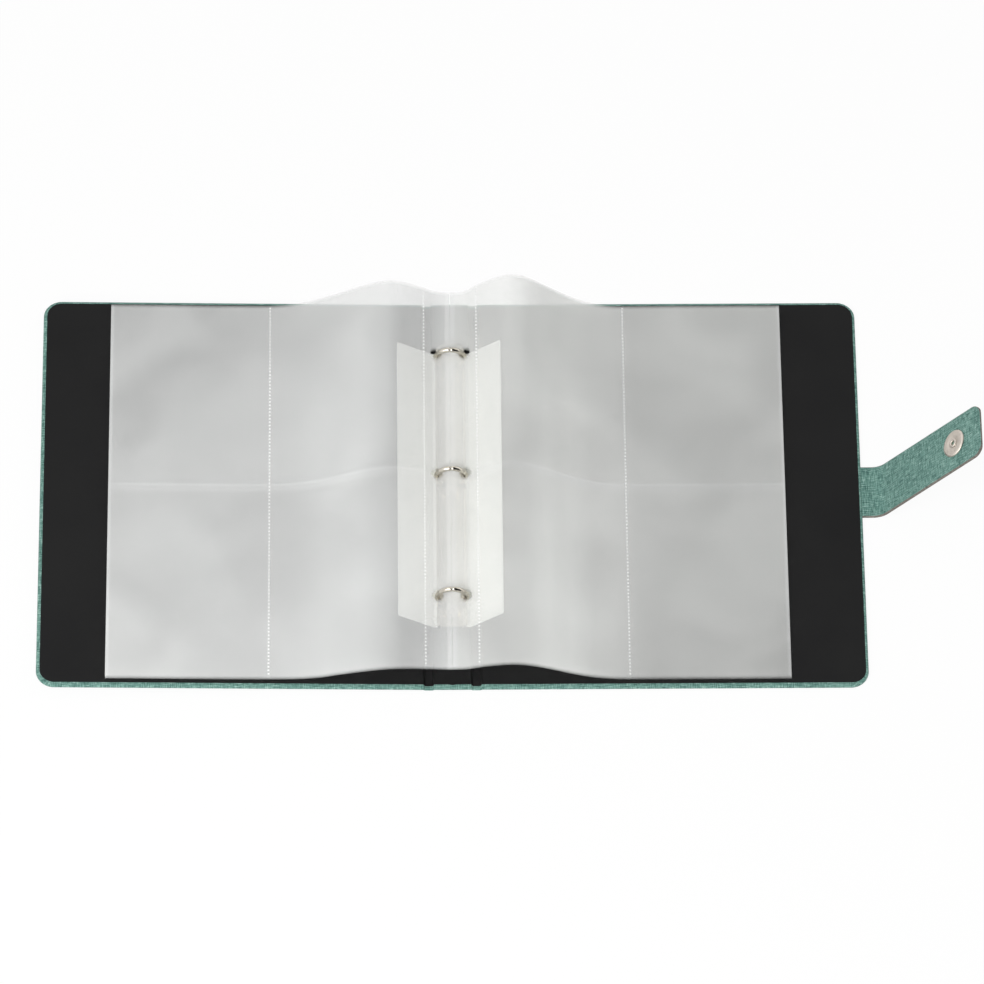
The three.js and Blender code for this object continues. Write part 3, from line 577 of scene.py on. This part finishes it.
def wrapped_sheet(profile, side, pleats=0.0, shift=(0, 0)):
    """A sheet wrapped round the edge of one half of the case.

    The profile is a list of (inset, height, cloth length) rows. A row with inset None lies on
    the middle line. A point is outline + normal * inset, and its height scales with the case's
    thickness there. Pleats lift and sink the turned-in cloth round the corners as a sine of the
    corner's angle. The two sides meet point for point on the middle line, where doubles are merged.
    """
    outline, normals, targets = cover_outline()
    thick = case_thickness(outline[:, 0]) / CASE_THICK
    corner = np.abs(normals[:, 0] * normals[:, 1]) * 2
    angle = np.arctan2(normals[:, 1], normals[:, 0])
    fold = np.sin(angle * 24) * corner * pleats
    # a shift towards the fore edge fades out before the groove, whose walls stay where they are
    fade = smooth_step((outline[:, 0] - BOARD_EDGE_COVER - 4) / 30)
    moved = np.stack([shift[0] * fade, shift[1] * (outline[:, 0] > 0)], -1)
    rows, flat = [], []
    for inset, height, length in profile:
        plan = targets if inset is None else outline + normals * inset
        if inset is not None and inset < 3:
            plan = plan + moved
        pleated = inset is not None and inset <= 1.1 and height >= CASE_THICK * 0.6
        rows.append(np.concatenate([plan, (height * thick + fold * pleated)[:, None]], -1))
        flat.append(targets if inset is None else outline + normals * length)
    points, flat = np.array(rows), np.array(flat)
    points[..., 0] *= side
    flat[..., 0] *= side
    points = tilt_front(points)
    count, width = points.shape[:2]
    faces = quads(count, width)
    # the spine's middle: rows k and count - 1 - k face each other, on both ends of the outline
    k = np.arange(count // 2 - 1)
    for column in (0, width - 1):
        cap = np.stack([k, k + 1, count - 2 - k, count - 1 - k], -1) * width + column
        faces = np.concatenate([faces, cap[:, ::-1] if column == 0 else cap])
    return (points.reshape(-1, 3), faces), flat.reshape(-1, 2)


def edge_profile():
    """Rows of the case cloth: under the cover, round its edge, in over the board and back."""
    t, c, n = CASE_THICK, CLOTH_THICK, TURN_IN
    outer = [(None, 0, 0), (4, 0, 4), (1.5, 0, 1.5), (1.0, 0.05, 1.0), (0.45, 0.28, 0.4),
             (0.1, 0.72, -0.2), (0, 1.25, -0.75), (0.05, t - 0.8, -1.3), (0.3, t - 0.32, -1.8),
             (0.75, t - 0.06, -2.3), (1.2, t - 0.01, -2.8), (n + 0.05, t - 0.14, -3.4),
             (n + 4, t - 0.3, -7.2)]
    inner = [(n + 4, t - 0.3 - c, -7.2), (n + 0.05, t - 0.14 - c, -3.4), (1.3, t - c, -2.8),
             (0.95, t - 0.1 - c, -2.3), (0.62, t - 0.32 - c * 0.6, -1.8), (c + 0.05, t - 0.85, -1.3),
             (c, 1.25, -0.75), (c + 0.08, 0.8, -0.2), (0.7, c + 0.22, 0.4), (1.1, c + 0.05, 1.0),
             (1.5, c, 1.5), (4, c, 4), (None, c, 0)]
    return outer + inner


def lining_profile():
    """Rows of the lining: its face, its cut edge and its back."""
    top, low, n = CASE_THICK - 0.01, CASE_THICK - LINING_THICK, TURN_IN
    outer = [(None, top, 0), (9, top, 9), (n + 0.5, top, 2), (n + 0.12, top - 0.03, 1.8),
             (n, top - 0.12, 1.6)]
    inner = [(n, low + 0.02, 1.4), (n + 0.12, low, 1.8), (n + 0.5, low, 2), (9, low, 9),
             (None, low, 0)]
    return outer + inner


def add_case(cloth, lining):
    """One cloth and one lining per cover, across its hinge line to the spine's middle."""
    for word, side in (("front", -1), ("back", 1)):
        covering = wrapped_sheet(edge_profile(), side, pleats=PLEAT_HEIGHT)
        inside = wrapped_sheet(lining_profile(), side, shift=LINING_SHIFT[word])
        for name, slot, finish, (body, flat) in (("case_cloth", "cloth", cloth, covering),
                                                 ("lining", "lining", lining, inside)):
            piece = make_piece(f"{name}_{word}", body, [finish], uv=flat)
            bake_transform(piece)
            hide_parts(f"{word}_{slot}", *([f"spine_{slot}"] if side < 0 else []))


# Rings

def ring_path(side):
    """Middle line of a half ring: straight foot, a knee and an arc up to the seam."""
    foot_angle = -math.acos(RING_FOOT_X / RING_RADIUS)
    angle = np.linspace(foot_angle + RING_KNEE_TURN, math.pi / 2 - RING_SEAM_TURN, 64)
    arc = np.stack([RING_RADIUS * np.cos(angle), RING_CENTRE_Z + RING_RADIUS * np.sin(angle)], -1)
    knee = np.array([RING_FOOT_X, RING_CENTRE_Z + RING_RADIUS * math.sin(foot_angle)])
    low = np.array([RING_FOOT_X, knee[1] - RING_KNEE])
    bend = bent(low, knee, arc[0], np.linspace(0, 1, 12)[:-1, None])
    foot_z = np.linspace(RING_FOOT_Z, low[1], 6, endpoint=False)
    foot = np.stack([np.full(6, RING_FOOT_X), foot_z], -1)
    line = np.concatenate([foot, bend, arc])
    line[:, 0] *= side
    return line


def swept_wire(line, y, radius, count=32):
    """Round wire along a line in the XZ plane, as line + radius * (cos a * normal, sin a * Y)."""
    ahead = np.gradient(line, axis=0)
    ahead /= np.linalg.norm(ahead, axis=1)[:, None]
    normal = np.stack([ahead[:, 1], -ahead[:, 0]], -1)
    a = around(count)
    r = radius[:, None]
    x = line[:, :1] + r * np.cos(a) * normal[:, :1]
    z = line[:, 1:] + r * np.cos(a) * normal[:, 1:]
    return np.stack([x, y + r * np.sin(a), z], -1)


def add_rings(metal):
    """Half rings, with the edge of each seam rounded off in the last three stations."""
    for word, side in SIDES.items():
        line = ring_path(side)
        radius = np.full(len(line), RING_WIRE / 2)
        radius[-3:] -= [0.03, 0.12, 0.3]
        for i, y in enumerate(RING_Y, 1):
            body = closed_tube(swept_wire(line, y, radius))
            piece = make_piece(f"ring_half_{word}_{i}", body, [metal])
            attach(piece, f"blade_{word}")
            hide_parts(f"half_ring_{word}_{i}")


# Strap and snap

def strap_line(lengths):
    """Middle line and up direction of the strap at given lengths from the fore edge."""
    s = lengths - STRAP_FLAT
    turn = np.clip(s / STRAP_BEND_RADIUS, 0, STRAP_ANGLE)
    beyond = np.maximum(s - STRAP_BEND_RADIUS * STRAP_ANGLE, 0)
    x = (FORE_EDGE + STRAP_FLAT + np.minimum(s, 0) + STRAP_BEND_RADIUS * np.sin(turn)
         + beyond * math.cos(STRAP_ANGLE))
    z = CASE_THICK / 2 + STRAP_BEND_RADIUS * (1 - np.cos(turn)) + beyond * math.sin(STRAP_ANGLE)
    return np.stack([x, z], -1), np.stack([-np.sin(turn), np.cos(turn)], -1)


def strap_place(lengths, across, offset):
    """Points on the strap from length along it, distance across it and height over its middle."""
    line, up = strap_line(lengths)
    x = line[..., 0] + up[..., 0] * offset
    z = line[..., 1] + up[..., 1] * offset
    return np.stack([x, across + 0 * x, z], -1)


def strap_total():
    """Length of the strap from the fore edge to its fold, found from the fold's joint."""
    fold_x = joint_place("strap_tip_bend")[0] / MM
    start_x = FORE_EDGE + STRAP_FLAT + (STRAP_BEND_RADIUS - STRAP_THICK / 2) * math.sin(STRAP_ANGLE)
    return STRAP_FLAT + STRAP_BEND_RADIUS * STRAP_ANGLE + (fold_x - start_x) / math.cos(STRAP_ANGLE)


def strap_section(edge=0.35, steps=5, count=31):
    """Closed section of the strap: flat faces and edges rounded by a quarter circle at each corner.

    Returns offsets across and up, and whether each point lies on the cut edge.
    """
    half, t = STRAP_WIDTH / 2, STRAP_THICK / 2
    face = np.linspace(-half + edge, half - edge, count)
    a = np.linspace(math.pi / 2, -math.pi / 2, 2 * steps + 1)[1:-1]
    side_y = half - edge + edge * np.cos(a)
    side_z = np.where(a > 0, t - edge + edge * np.sin(a), -t + edge + edge * np.sin(a))
    y = np.concatenate([face, side_y, face[::-1], -side_y])
    z = np.concatenate([np.full(count, t), side_z, np.full(count, -t), -side_z])
    on_edge = np.repeat([0, 1, 0, 1], [count, len(a), count, len(a)])
    return y, z, on_edge


def strap_body(s_from, s_to, round_tip):
    """Sweep of the strap's section, whose half width follows a circle at the tip's two corners.

    Returns vertices, faces, place on the cloth and whether each face is cut edge.
    """
    s = np.linspace(s_from, s_to, max(int((s_to - s_from) / STRAP_STEP), 8))
    narrow = thin = np.ones(len(s))
    if round_tip:
        corner = s_to - STRAP_CORNER
        angle = np.linspace(0, math.pi / 2, 15)[1:]
        s = np.concatenate([np.linspace(s_from, corner, 60), corner + STRAP_CORNER * np.sin(angle)])
        past = np.clip((s - corner) / STRAP_CORNER, 0, 1)
        narrow = 1 - STRAP_CORNER * (1 - np.sqrt(1 - past**2)) / (STRAP_WIDTH / 2)
        thin = 1 - 0.5 * smooth_step((past - 0.9) / 0.1) / STRAP_THICK
    y, z, on_edge = strap_section()
    count = len(y)
    along = np.repeat(s[:, None], count, 1)
    across = y * narrow[:, None]
    vertices, faces = closed_tube(strap_place(along, across, z * thin[:, None]))
    flat = np.stack([along, across], -1)
    flat = np.concatenate([flat[:1], flat, flat[-1:]]).reshape(-1, 2)
    column = np.tile(np.arange(count), len(s) + 1)
    cut = on_edge[column] | on_edge[(column + 1) % count]
    if round_tip:
        cut[-count:] = 1
    return vertices, faces, flat, cut


def stitch_bodies(s_from, s_to, round_tip, up):
    """Stitches along the strap's edges, each a thread that rises from one hole and sinks into the
    next. Up is 1 on the upper face and -1 on the lower one."""
    half = STRAP_WIDTH / 2 - STITCH_INSET
    end = s_to - STITCH_INSET if round_tip else s_to
    t = np.linspace(-0.5, 0.5, 7)[:, None]
    a = around(6)
    thick = STITCH_THREAD * np.clip(np.cos(t * math.pi * 0.96), 0.25, 1)
    lift = STITCH_THREAD * (np.cos(t * math.pi) * 1.5 - 0.7)
    high = (STRAP_THICK / 2 + lift * 0.5 + np.sin(a) * thick * 0.8) * up
    wide = np.cos(a) * thick

    def stitch(s, y, out_s, out_y):
        """One stitch along the line (s, y), as wide as its thread in the direction out."""
        return closed_tube(strap_place(s + out_s * wide, y + out_y * wide, high))

    last = end - (STRAP_CORNER if round_tip else STITCH_PITCH / 2)
    bodies = [stitch(s + t * STITCH_LENGTH, side * half, 0, 1)
              for side in (-1, 1) for s in np.arange(s_from + STITCH_PITCH / 2, last, STITCH_PITCH)]
    if not round_tip:
        return bodies
    bodies += [stitch(end, y + t * STITCH_LENGTH, 1, 0)
               for y in np.arange(-half + STRAP_CORNER, half - STRAP_CORNER + 0.1, STITCH_PITCH)]
    r = STRAP_CORNER - STITCH_INSET
    for corner in (-1, 1):
        for share in (0.3, 0.72):
            turn = share * math.pi / 2 + t * STITCH_LENGTH / STRAP_CORNER
            out_s, out_y = np.sin(turn), corner * np.cos(turn)
            bodies.append(stitch(s_to - STRAP_CORNER + r * out_s,
                                 corner * (STRAP_WIDTH / 2 - STRAP_CORNER) + r * out_y, out_s, out_y))
    return bodies


def add_strap(cloth, edge, thread):
    """The strap in two pieces that meet between its two joints. Returns the length from root to fold.
    """
    fold = strap_total()
    bend_middle = STRAP_FLAT + STRAP_BEND_RADIUS * STRAP_ANGLE / 2
    # the pieces meet just past halfway between the joints
    middle = (fold + bend_middle) / 2 + 4
    end = fold + STRAP_TIP_LENGTH
    # name, both bodies, joint, from, to, round tip, slope at the joint, half the bend, old nodes
    parts = (
        ("strap_root", "back_cover", "strap_bridge", "strap_root_bend", -STRAP_FLAT, middle, False,
         STRAP_ANGLE / 2, 5.5, ["strap_anchor"]),
        ("strap_end", "strap_bridge", "strap_tip", "strap_tip_bend", middle, end, True,
         STRAP_ANGLE, 3.0, ["strap_bridge", "strap_tip"]),
    )
    for name, a, b, joint, s_from, s_to, round_tip, slope, reach, nodes in parts:
        v, f, uv, cut = strap_body(s_from, s_to, round_tip)
        stitches = [stitch for up in (1, -1)
                    for stitch in stitch_bodies(max(s_from, 1.0), s_to, round_tip, up)]
        body = join(*[(points, outward(points, faces)) for points, faces in [(v, f), *stitches]])
        uv = np.concatenate([uv, np.zeros((len(body[0]) - len(v), 2))])
        slots = np.concatenate([cut, np.full(len(body[1]) - len(f), 2)])
        piece = make_piece(name, body, [cloth, edge, thread], uv=uv, face_slots=slots, sharp=60)
        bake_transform(piece)
        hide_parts(*nodes)
    return fold


def on_strap_tip(vertices, fold):
    """Place vertices made about the z axis on the strap's upper face at the snap's centre."""
    line, _ = strap_line(np.array([fold + SNAP_FROM_FOLD]))
    c, s = math.cos(STRAP_ANGLE), math.sin(STRAP_ANGLE)
    axes = np.array([[c, 0, s], [0, 1, 0], [-s, 0, c]])
    return [line[0, 0], 0, line[0, 1]] + axes[2] * STRAP_THICK / 2 + vertices @ axes


def add_snap(metal, fold):
    """The strap's half of the snap: a dished disc held by an eyelet whose top is rolled outwards."""
    r = SNAP_RADIUS
    disc = [(1.75, 0.12), (1.75, 0.85), (2.8, 0.95), (4.2, 1.12), (r - 0.9, 1.12), (r - 0.15, 0.75),
            (r, 0.45), (r, 0.05), (2.4, 0.05), (1.75, 0.12)]
    eyelet = [(1.0, -0.7), (1.65, -0.7), (1.65, 0.95), (2.3, 1.0), (2.38, 1.16), (2.1, 1.36),
              (1.55, 1.42), (1.12, 1.25), (1.0, 0.9), (1.0, -0.7)]
    for name, profile, radius, segments, node in (("snap_disc_face", disc, 0.22, 96, "snap_disc"),
                                                  ("snap_eyelet", eyelet, 0.2, 64, "snap_rivet")):
        vertices, faces = revolved(rounded(profile, radius)[:-1], segments, closed=True)
        piece = make_piece(name, (on_strap_tip(vertices, fold), faces), [metal], sharp=35)
        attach(piece, "strap_tip")
        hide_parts(node)


# Sheet lifter

def sheet_body(upper, lower):
    """Closed thin body between two grids of points of the same shape."""
    ny, nx = upper.shape[:2]
    count = nx * ny
    flat = quads(ny, nx)
    rim = np.concatenate([np.arange(nx), np.arange(2 * nx - 1, count, nx),
                          np.arange(count - 2, count - nx - 1, -1),
                          np.arange(count - 2 * nx, 0, -nx)])
    after = np.roll(rim, -1)
    walls = np.stack([rim, after, after + count, rim + count], -1)
    faces = np.concatenate([flat[:, ::-1], flat + count, walls])
    return np.concatenate([upper.reshape(-1, 3), lower.reshape(-1, 3)]), faces


def add_lifter(plastic):
    """Each wing with its live hinge: the sheet leaves the base flat, bends at the fold and rises."""
    for word, side in SIDES.items():
        low, high = node_box(f"lifter_wing_{word}")
        hinge = joint_place(f"{word}_lifter_fold")
        fold = np.array([abs(hinge[0]), hinge[2]]) / MM
        reach = np.array([max(-low[0], high[0]), high[2] - LIFTER_SHEET / 2]) - fold
        ahead = reach / np.linalg.norm(reach)
        start = np.array([node_box("lifter_base")[1][0] + 0.02, fold[1]])
        bend = bent(start, fold, fold + ahead * LIFTER_BEND, np.linspace(0, 1, 9)[:, None])
        turn = np.linspace(0, math.pi / 2, 7)[1:]
        far = np.concatenate([np.linspace(LIFTER_BEND, LIFTER_WING - LIFTER_CORNER, 12)[1:],
                              LIFTER_WING - LIFTER_CORNER + LIFTER_CORNER * np.sin(turn)])
        line = np.concatenate([bend, fold + far[:, None] * ahead])
        half = np.full(len(line), (high[1] - low[1]) / 2)
        half[-len(turn):] -= LIFTER_CORNER * (1 - np.cos(turn))
        along = np.gradient(line, axis=0)
        along /= np.linalg.norm(along, axis=1)[:, None]
        normal = np.stack([-along[:, 1], along[:, 0]], -1) * LIFTER_SHEET / 2
        y = (low[1] + high[1]) / 2 + np.linspace(-1, 1, 41)[:, None] * half
        faces = [(line + sign * normal).T for sign in (1, -1)]
        grids = [np.stack([side * x + 0 * y, y, z + 0 * y], -1) for x, z in faces]
        piece = make_piece(f"lifter_wing_{word}_sheet", sheet_body(*grids), [plastic])
        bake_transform(piece)
        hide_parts(f"lifter_wing_{word}")


# Leaves

def leaf_edges(node, side):
    """A leaf's middle surface along its foot and its head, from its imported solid.

    Each of the two is (distances from the gutter, heights).
    """
    solid = frame["nodes"][node].data
    co = np.empty(len(solid.vertices) * 3)
    solid.vertices.foreach_get("co", co)
    co = co.reshape(-1, 3) / MM
    curves = []
    for y in (-LEAF_HEAD, LEAF_HEAD):
        edge = co[np.abs(co[:, 1] - y) < 0.01]
        x = np.round(edge[:, 0] * side, 2)
        columns = np.unique(x)
        heights = [edge[x == c, 2] for c in columns]
        curves.append((columns, np.array([(z.max() + z.min()) / 2 for z in heights])))
    return curves


def leaf_height(curves, x, y):
    """Height at distance x from the gutter and at y, mixed between the foot and head curves."""
    share = (y + LEAF_HEAD) / (2 * LEAF_HEAD)
    foot, head = (through(*curve, x) for curve in curves)
    return foot * (1 - share) + head * share


def leaf_stations(marks, low, high, step):
    """Grid lines from low to high, with close ones on both sides of each mark."""
    base = np.linspace(low, high, int((high - low) / step) + 1)
    near = np.concatenate([m + np.arange(-2, 3) * WELD_HALF for m in marks])
    near = near[(near > low) & (near < high)]
    keep = np.min(np.abs(base[:, None] - near[None, :]), 1) > WELD_HALF * 0.8
    keep[0] = keep[-1] = True
    return np.unique(np.round(np.concatenate([base[keep], near]), 3))


def nearest(values, marks):
    """Distance from each value to the nearest mark."""
    return np.min(np.abs(values[..., None] - np.array(marks)), -1)


def add_leaf(word, side, index, finishes, rng):
    """One leaf of four pockets: two films that swell between the welds, with ring holes punched."""
    node = f"leaf_{word}_{index}"
    curves = leaf_edges(node, side)
    outer = curves[0][0][-1]
    welds_x = [LEAF_MARGIN, LEAF_MIDDLE[word], outer - RIM_WELD]
    foot_y, mouth_y = -LEAF_HEAD + RIM_WELD, POCKET_FOOT_Y - MOUTH_GAP
    marks_y = [foot_y, POCKET_FOOT_Y, mouth_y, LEAF_HEAD - HEAD_MOUTH]
    x = leaf_stations(welds_x, LEAF_INNER, outer, step=2.4)
    y = leaf_stations(marks_y, -LEAF_HEAD, LEAF_HEAD, step=3.2)
    gx, gy = np.meshgrid(x, y)
    # each pocket swells from its welds: 0 on a weld, 1 where the swell's reach ends
    swell = smooth_step(nearest(gx, welds_x) / SWELL_REACH)
    swell *= smooth_step(nearest(gy, [foot_y, POCKET_FOOT_Y]) / SWELL_REACH)
    in_pockets = (gx > LEAF_MARGIN) & (gx < outer - RIM_WELD)
    swell *= in_pockets & (gy > foot_y)
    phase = rng.uniform(0, 2 * math.pi, 4)
    wave = (np.sin(gx / 17 + phase[0]) * np.sin(gy / 23 + phase[1])
            + np.sin(gx / 31 + gy / 19 + phase[2]))
    middle = leaf_height(curves, gx, gy) + FILM_DRIFT * 0.5 * wave * swell
    half = FILM_HALF + FILM_SWELL * swell
    # the front film of each pocket ends at its mouth, one film lower than the back film
    at_mouth = (gy > LEAF_HEAD - HEAD_MOUTH) | ((gy < POCKET_FOOT_Y - WELD_HALF) & (gy > mouth_y))
    top = middle + half - FILM_STEP * (at_mouth & in_pockets)
    body = sheet_body(*[np.stack([gx * side, gy, z], -1) for z in (top, middle - half)])

    flat = quads(*gx.shape)
    face_x, face_y = (grid.ravel()[flat].mean(1) for grid in (gx, gy))
    edge = (face_x < GUTTER_EDGE) | (face_x > outer - RIM_EDGE)
    weld = edge | (nearest(face_x, welds_x[:2]) < WELD_HALF)
    weld |= (nearest(face_y, [POCKET_FOOT_Y, mouth_y]) < MOUTH_HALF) & (face_x > LEAF_MARGIN)
    slots = np.ones(len(body[1]), int)
    slots[:2 * len(flat)] = np.tile(weld, 2)
    piece = make_piece(f"pocket_leaf_{word}_{index}", body, finishes, face_slots=slots, sharp=50)
    # milky film passes light on to what lies under it instead of shading it
    piece.visible_shadow = False
    punch_holes(piece, side)
    if index == 1:
        add_weld_dots(piece, side, curves, welds_x[:2], outer)
    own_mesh(piece)
    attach(piece, f"{word}_top_leaf" if index == 1 else f"{word}_leaves")
    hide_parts(node)


def punch_holes(piece, side):
    """Cut the three round ring holes out of a leaf."""
    profile = [(0, 0), (PUNCH_RADIUS, 0), (PUNCH_RADIUS, PUNCH_HEIGHT), (0, PUNCH_HEIGHT)]
    v, f = revolved(profile, 32)
    punches = [(v + [side * PUNCH_X, y, PUNCH_LOW], outward(v, f)) for y in RING_Y]
    cutter = make_piece("punch", join(*punches), [])
    modifier = piece.modifiers.new("holes", "BOOLEAN")
    modifier.object = cutter
    modifier.operation = "DIFFERENCE"
    modifier.solver = "EXACT"
    bpy.context.view_layer.update()
    cut = bpy.data.meshes.new_from_object(piece.evaluated_get(bpy.context.evaluated_depsgraph_get()))
    old = piece.data
    piece.modifiers.clear()
    piece.data = cut
    bpy.data.meshes.remove(old)
    bpy.data.objects.remove(cutter)


def add_weld_dots(piece, side, curves, welds_x, outer):
    """Weld dots: low domes along each weld line, added to the leaf's own mesh."""
    run_y = np.arange(-LEAF_HEAD + 1.5, LEAF_HEAD - 1, DOT_PITCH)
    run_x = np.arange(LEAF_MARGIN, outer - 1, DOT_PITCH)
    # (places, finish): white on the two long welds, fused on the rim and the row's foot, plain below
    runs = [(np.stack([np.full_like(run_y, x), run_y], -1), slot) for x, slot in zip(welds_x, (2, 2))]
    runs.append((np.stack([np.full_like(run_y, outer - 1.0), run_y], -1), 1))
    runs += [(np.stack([run_x, np.full_like(run_x, y)], -1), slot)
             for y, slot in ((POCKET_FOOT_Y, 1), (-LEAF_HEAD + 1.6, 0))]
    slots = np.concatenate([np.full(len(run), slot) for run, slot in runs])
    spots = np.concatenate([run for run, _ in runs])
    height = leaf_height(curves, spots[:, 0], spots[:, 1])
    ring, faces = revolved(DOT_PROFILE, 6)
    faces = outward(ring, faces)
    dots = ring[None] + np.stack([spots[:, 0] * side, spots[:, 1], height], -1)[:, None, :]
    all_faces = faces[None] + (np.arange(len(spots)) * len(ring))[:, None, None]
    extra = bpy.data.meshes.new("dots")
    extra.from_pydata((dots.reshape(-1, 3) * MM).tolist(), [], all_faces.reshape(-1, 4).tolist())
    extra.polygons.foreach_set("material_index", np.repeat(slots, len(faces)).astype(np.int32))
    work = bmesh.new()
    work.from_mesh(extra)
    bmesh.ops.remove_doubles(work, verts=work.verts, dist=1e-7)
    work.from_mesh(piece.data)
    work.to_mesh(piece.data)
    work.free()
    bpy.data.meshes.remove(extra)
    piece.data.shade_smooth()
    piece.data.set_sharp_from_angle(angle=math.radians(50))


# Camera, light and floor

def add_camera():
    """Camera in front of and above the album, turned and rolled as the photograph was."""
    az, el, roll = CAMERA_AZIMUTH, CAMERA_ELEVATION, CAMERA_ROLL
    ahead = Vector((math.sin(az) * math.cos(el), math.cos(az) * math.cos(el), -math.sin(el)))
    right = Vector((math.cos(az), -math.sin(az), 0))
    up = right.cross(ahead)
    c, s = math.cos(roll), math.sin(roll)
    right, up = right * c + up * s, up * c - right * s
    data = bpy.data.cameras.new("camera")
    data.sensor_width = 36
    data.lens = PIXELS_PER_MM * CAMERA_DISTANCE / IMAGE * data.sensor_width
    data.clip_start, data.clip_end = 0.1, 20
    camera = bpy.data.objects.new("camera", data)
    place = Matrix((right, up, -ahead)).transposed().to_4x4()
    place.translation = (Vector(CAMERA_TARGET) - ahead * CAMERA_DISTANCE) * MM
    camera.matrix_world = place
    bpy.context.scene.collection.objects.link(camera)
    bpy.context.scene.camera = camera


def add_softbox(name, where, towards, size, power):
    """Square area light, with places and size in metres and power in watts."""
    data = bpy.data.lights.new(name, "AREA")
    data.shape = "RECTANGLE"
    data.size = data.size_y = size
    data.energy = power
    light = bpy.data.objects.new(name, data)
    light.location = where
    light.rotation_euler = (Vector(towards) - Vector(where)).to_track_quat("-Z", "Y").to_euler()
    bpy.context.scene.collection.objects.link(light)


def seen_by(tree, *kinds):
    """1 for rays of the given kinds, and 0 for others."""
    rays = add_node(tree, "ShaderNodeLightPath")
    seen = rays.outputs[f"Is {kinds[0]} Ray"]
    for kind in kinds[1:]:
        seen = calculate(tree, "MAXIMUM", seen, rays.outputs[f"Is {kind} Ray"])
    return seen


def add_world():
    """White surroundings that light the scene softly and look white straight on or in a mirror."""
    world = bpy.data.worlds.new("studio")
    bpy.context.scene.world = world
    world.use_nodes = True
    tree = world.node_tree
    tree.nodes.clear()
    lit = add_node(tree, "ShaderNodeBackground", Color=srgb("#ffffff"), Strength=0.45)
    seen = add_node(tree, "ShaderNodeBackground", Color=srgb("#ffffff"), Strength=1.0)
    mix = add_node(tree, "ShaderNodeMixShader", Fac=seen_by(tree, "Camera", "Transmission", "Glossy"),
                   in_1=lit.outputs[0], in_2=seen.outputs[0])
    add_node(tree, "ShaderNodeOutputWorld", Surface=mix.outputs[0])


def add_floor(reach=12.0, drop=0.0003):
    """Pale table top that the camera sees as white but for the object's shadow."""
    mesh = bpy.data.meshes.new("floor")
    corners = [(-reach, -reach, 0), (reach, -reach, 0), (reach, reach, 0), (-reach, reach, 0)]
    mesh.from_pydata(corners, [], [(0, 1, 2, 3)])
    floor = bpy.data.objects.new("floor", mesh)
    floor.location.z = -drop
    bpy.context.scene.collection.objects.link(floor)
    material, tree, shader = new_material("pale table top")
    plug(tree, shader, Base_Color=srgb("#fbfbfa"), Roughness=0.9, Specular_IOR_Level=0.1)
    white = add_node(tree, "ShaderNodeEmission", Color=srgb("#ffffff"), Strength=1.0)
    shown = calculate(tree, "MULTIPLY", seen_by(tree, "Camera", "Transmission"), 0.93)
    mix = add_node(tree, "ShaderNodeMixShader", Fac=shown,
                   in_1=shader.outputs[0], in_2=white.outputs[0])
    plug(tree, tree.nodes["Material Output"], Surface=mix.outputs[0])
    mesh.materials.append(material)


def add_dark_card(radius=2.1):
    """The unlit side of the studio behind the camera, which only reflections show."""
    mesh = bpy.data.meshes.new("dark card")
    rise = np.radians(np.linspace(5, 115, 23))
    rows = [[(x, -radius * math.cos(a), radius * math.sin(a)) for x in (0.25, 2.6)] for a in rise]
    mesh.from_pydata(sum(rows, []), [], quads(len(rows), 2).tolist())
    card = bpy.data.objects.new("dark card", mesh)
    material, tree, shader = new_material("black felt card")
    plug(tree, shader, Base_Color=srgb("#1c1512"), Roughness=0.95)
    mesh.materials.append(material)
    bpy.context.scene.collection.objects.link(card)
    card.visible_camera = card.visible_diffuse = False
    card.visible_shadow = card.visible_transmission = False


def paint_nodes(finishes):
    """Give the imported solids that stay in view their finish."""
    for material, names in finishes:
        for name in names:
            data = frame["nodes"][name].data
            data.materials.clear()
            data.materials.append(material)


def main():
    scene = bpy.context.scene
    scene.view_settings.view_transform = "Standard"
    scene.cycles.transparent_max_bounces = 48
    add_camera()
    add_world()
    add_floor()
    add_softbox("key", (-0.45, -0.82, 1.0), (-0.05, 0, 0), 0.9, 13)
    add_softbox("fill", (1.4, 0.5, 1.5), (0, 0, 0), 1.2, 3.5)
    add_dark_card()

    metal = nickel("nickel-plated ring steel", 0.1, "#d6d1c6", "#b3ada1")
    snap_metal = nickel("satin nickel-plated snap", 0.42, "#dfd6cc", "#d2c9bf")
    cloth = linen_cloth()
    plastic = white_polypropylene()
    add_case(cloth, lining_paper())
    add_rings(metal)
    add_lifter(plastic)
    fold = add_strap(cloth, cut_edge(), sewing_thread())
    add_snap(snap_metal, fold)
    rng = np.random.default_rng(7)
    for word, side in SIDES.items():
        finishes = [("cast", FILM_TONE_LIT_PER_STACK[word], 1.0), ("fused edge of", "#f2f3f2", 1.1),
                    ("heat weld in", "#fbfbf9", 2.6)]
        films = [milky_film(f"{finish} polypropylene film, {word} stack", HAZE_AND_PAINTED_LIGHT[word], tone, gain)
                 for finish, tone, gain in finishes]
        for index in range(1, LEAF_COUNT + 1):
            add_leaf(word, side, index, films, rng)

    paint_nodes([
        (greyboard(), ["front_board", "spine_board", "back_board"]),
        (metal, ["blade_left", "blade_right", "ring_cover_plate", "rivet_1", "rivet_2"]),
        (snap_metal, ["snap_socket_cup", "snap_socket_base"]),
        (ferrite(), ["snap_socket_magnet"]),
        (plastic, ["lifter_base"]),
    ])


main()
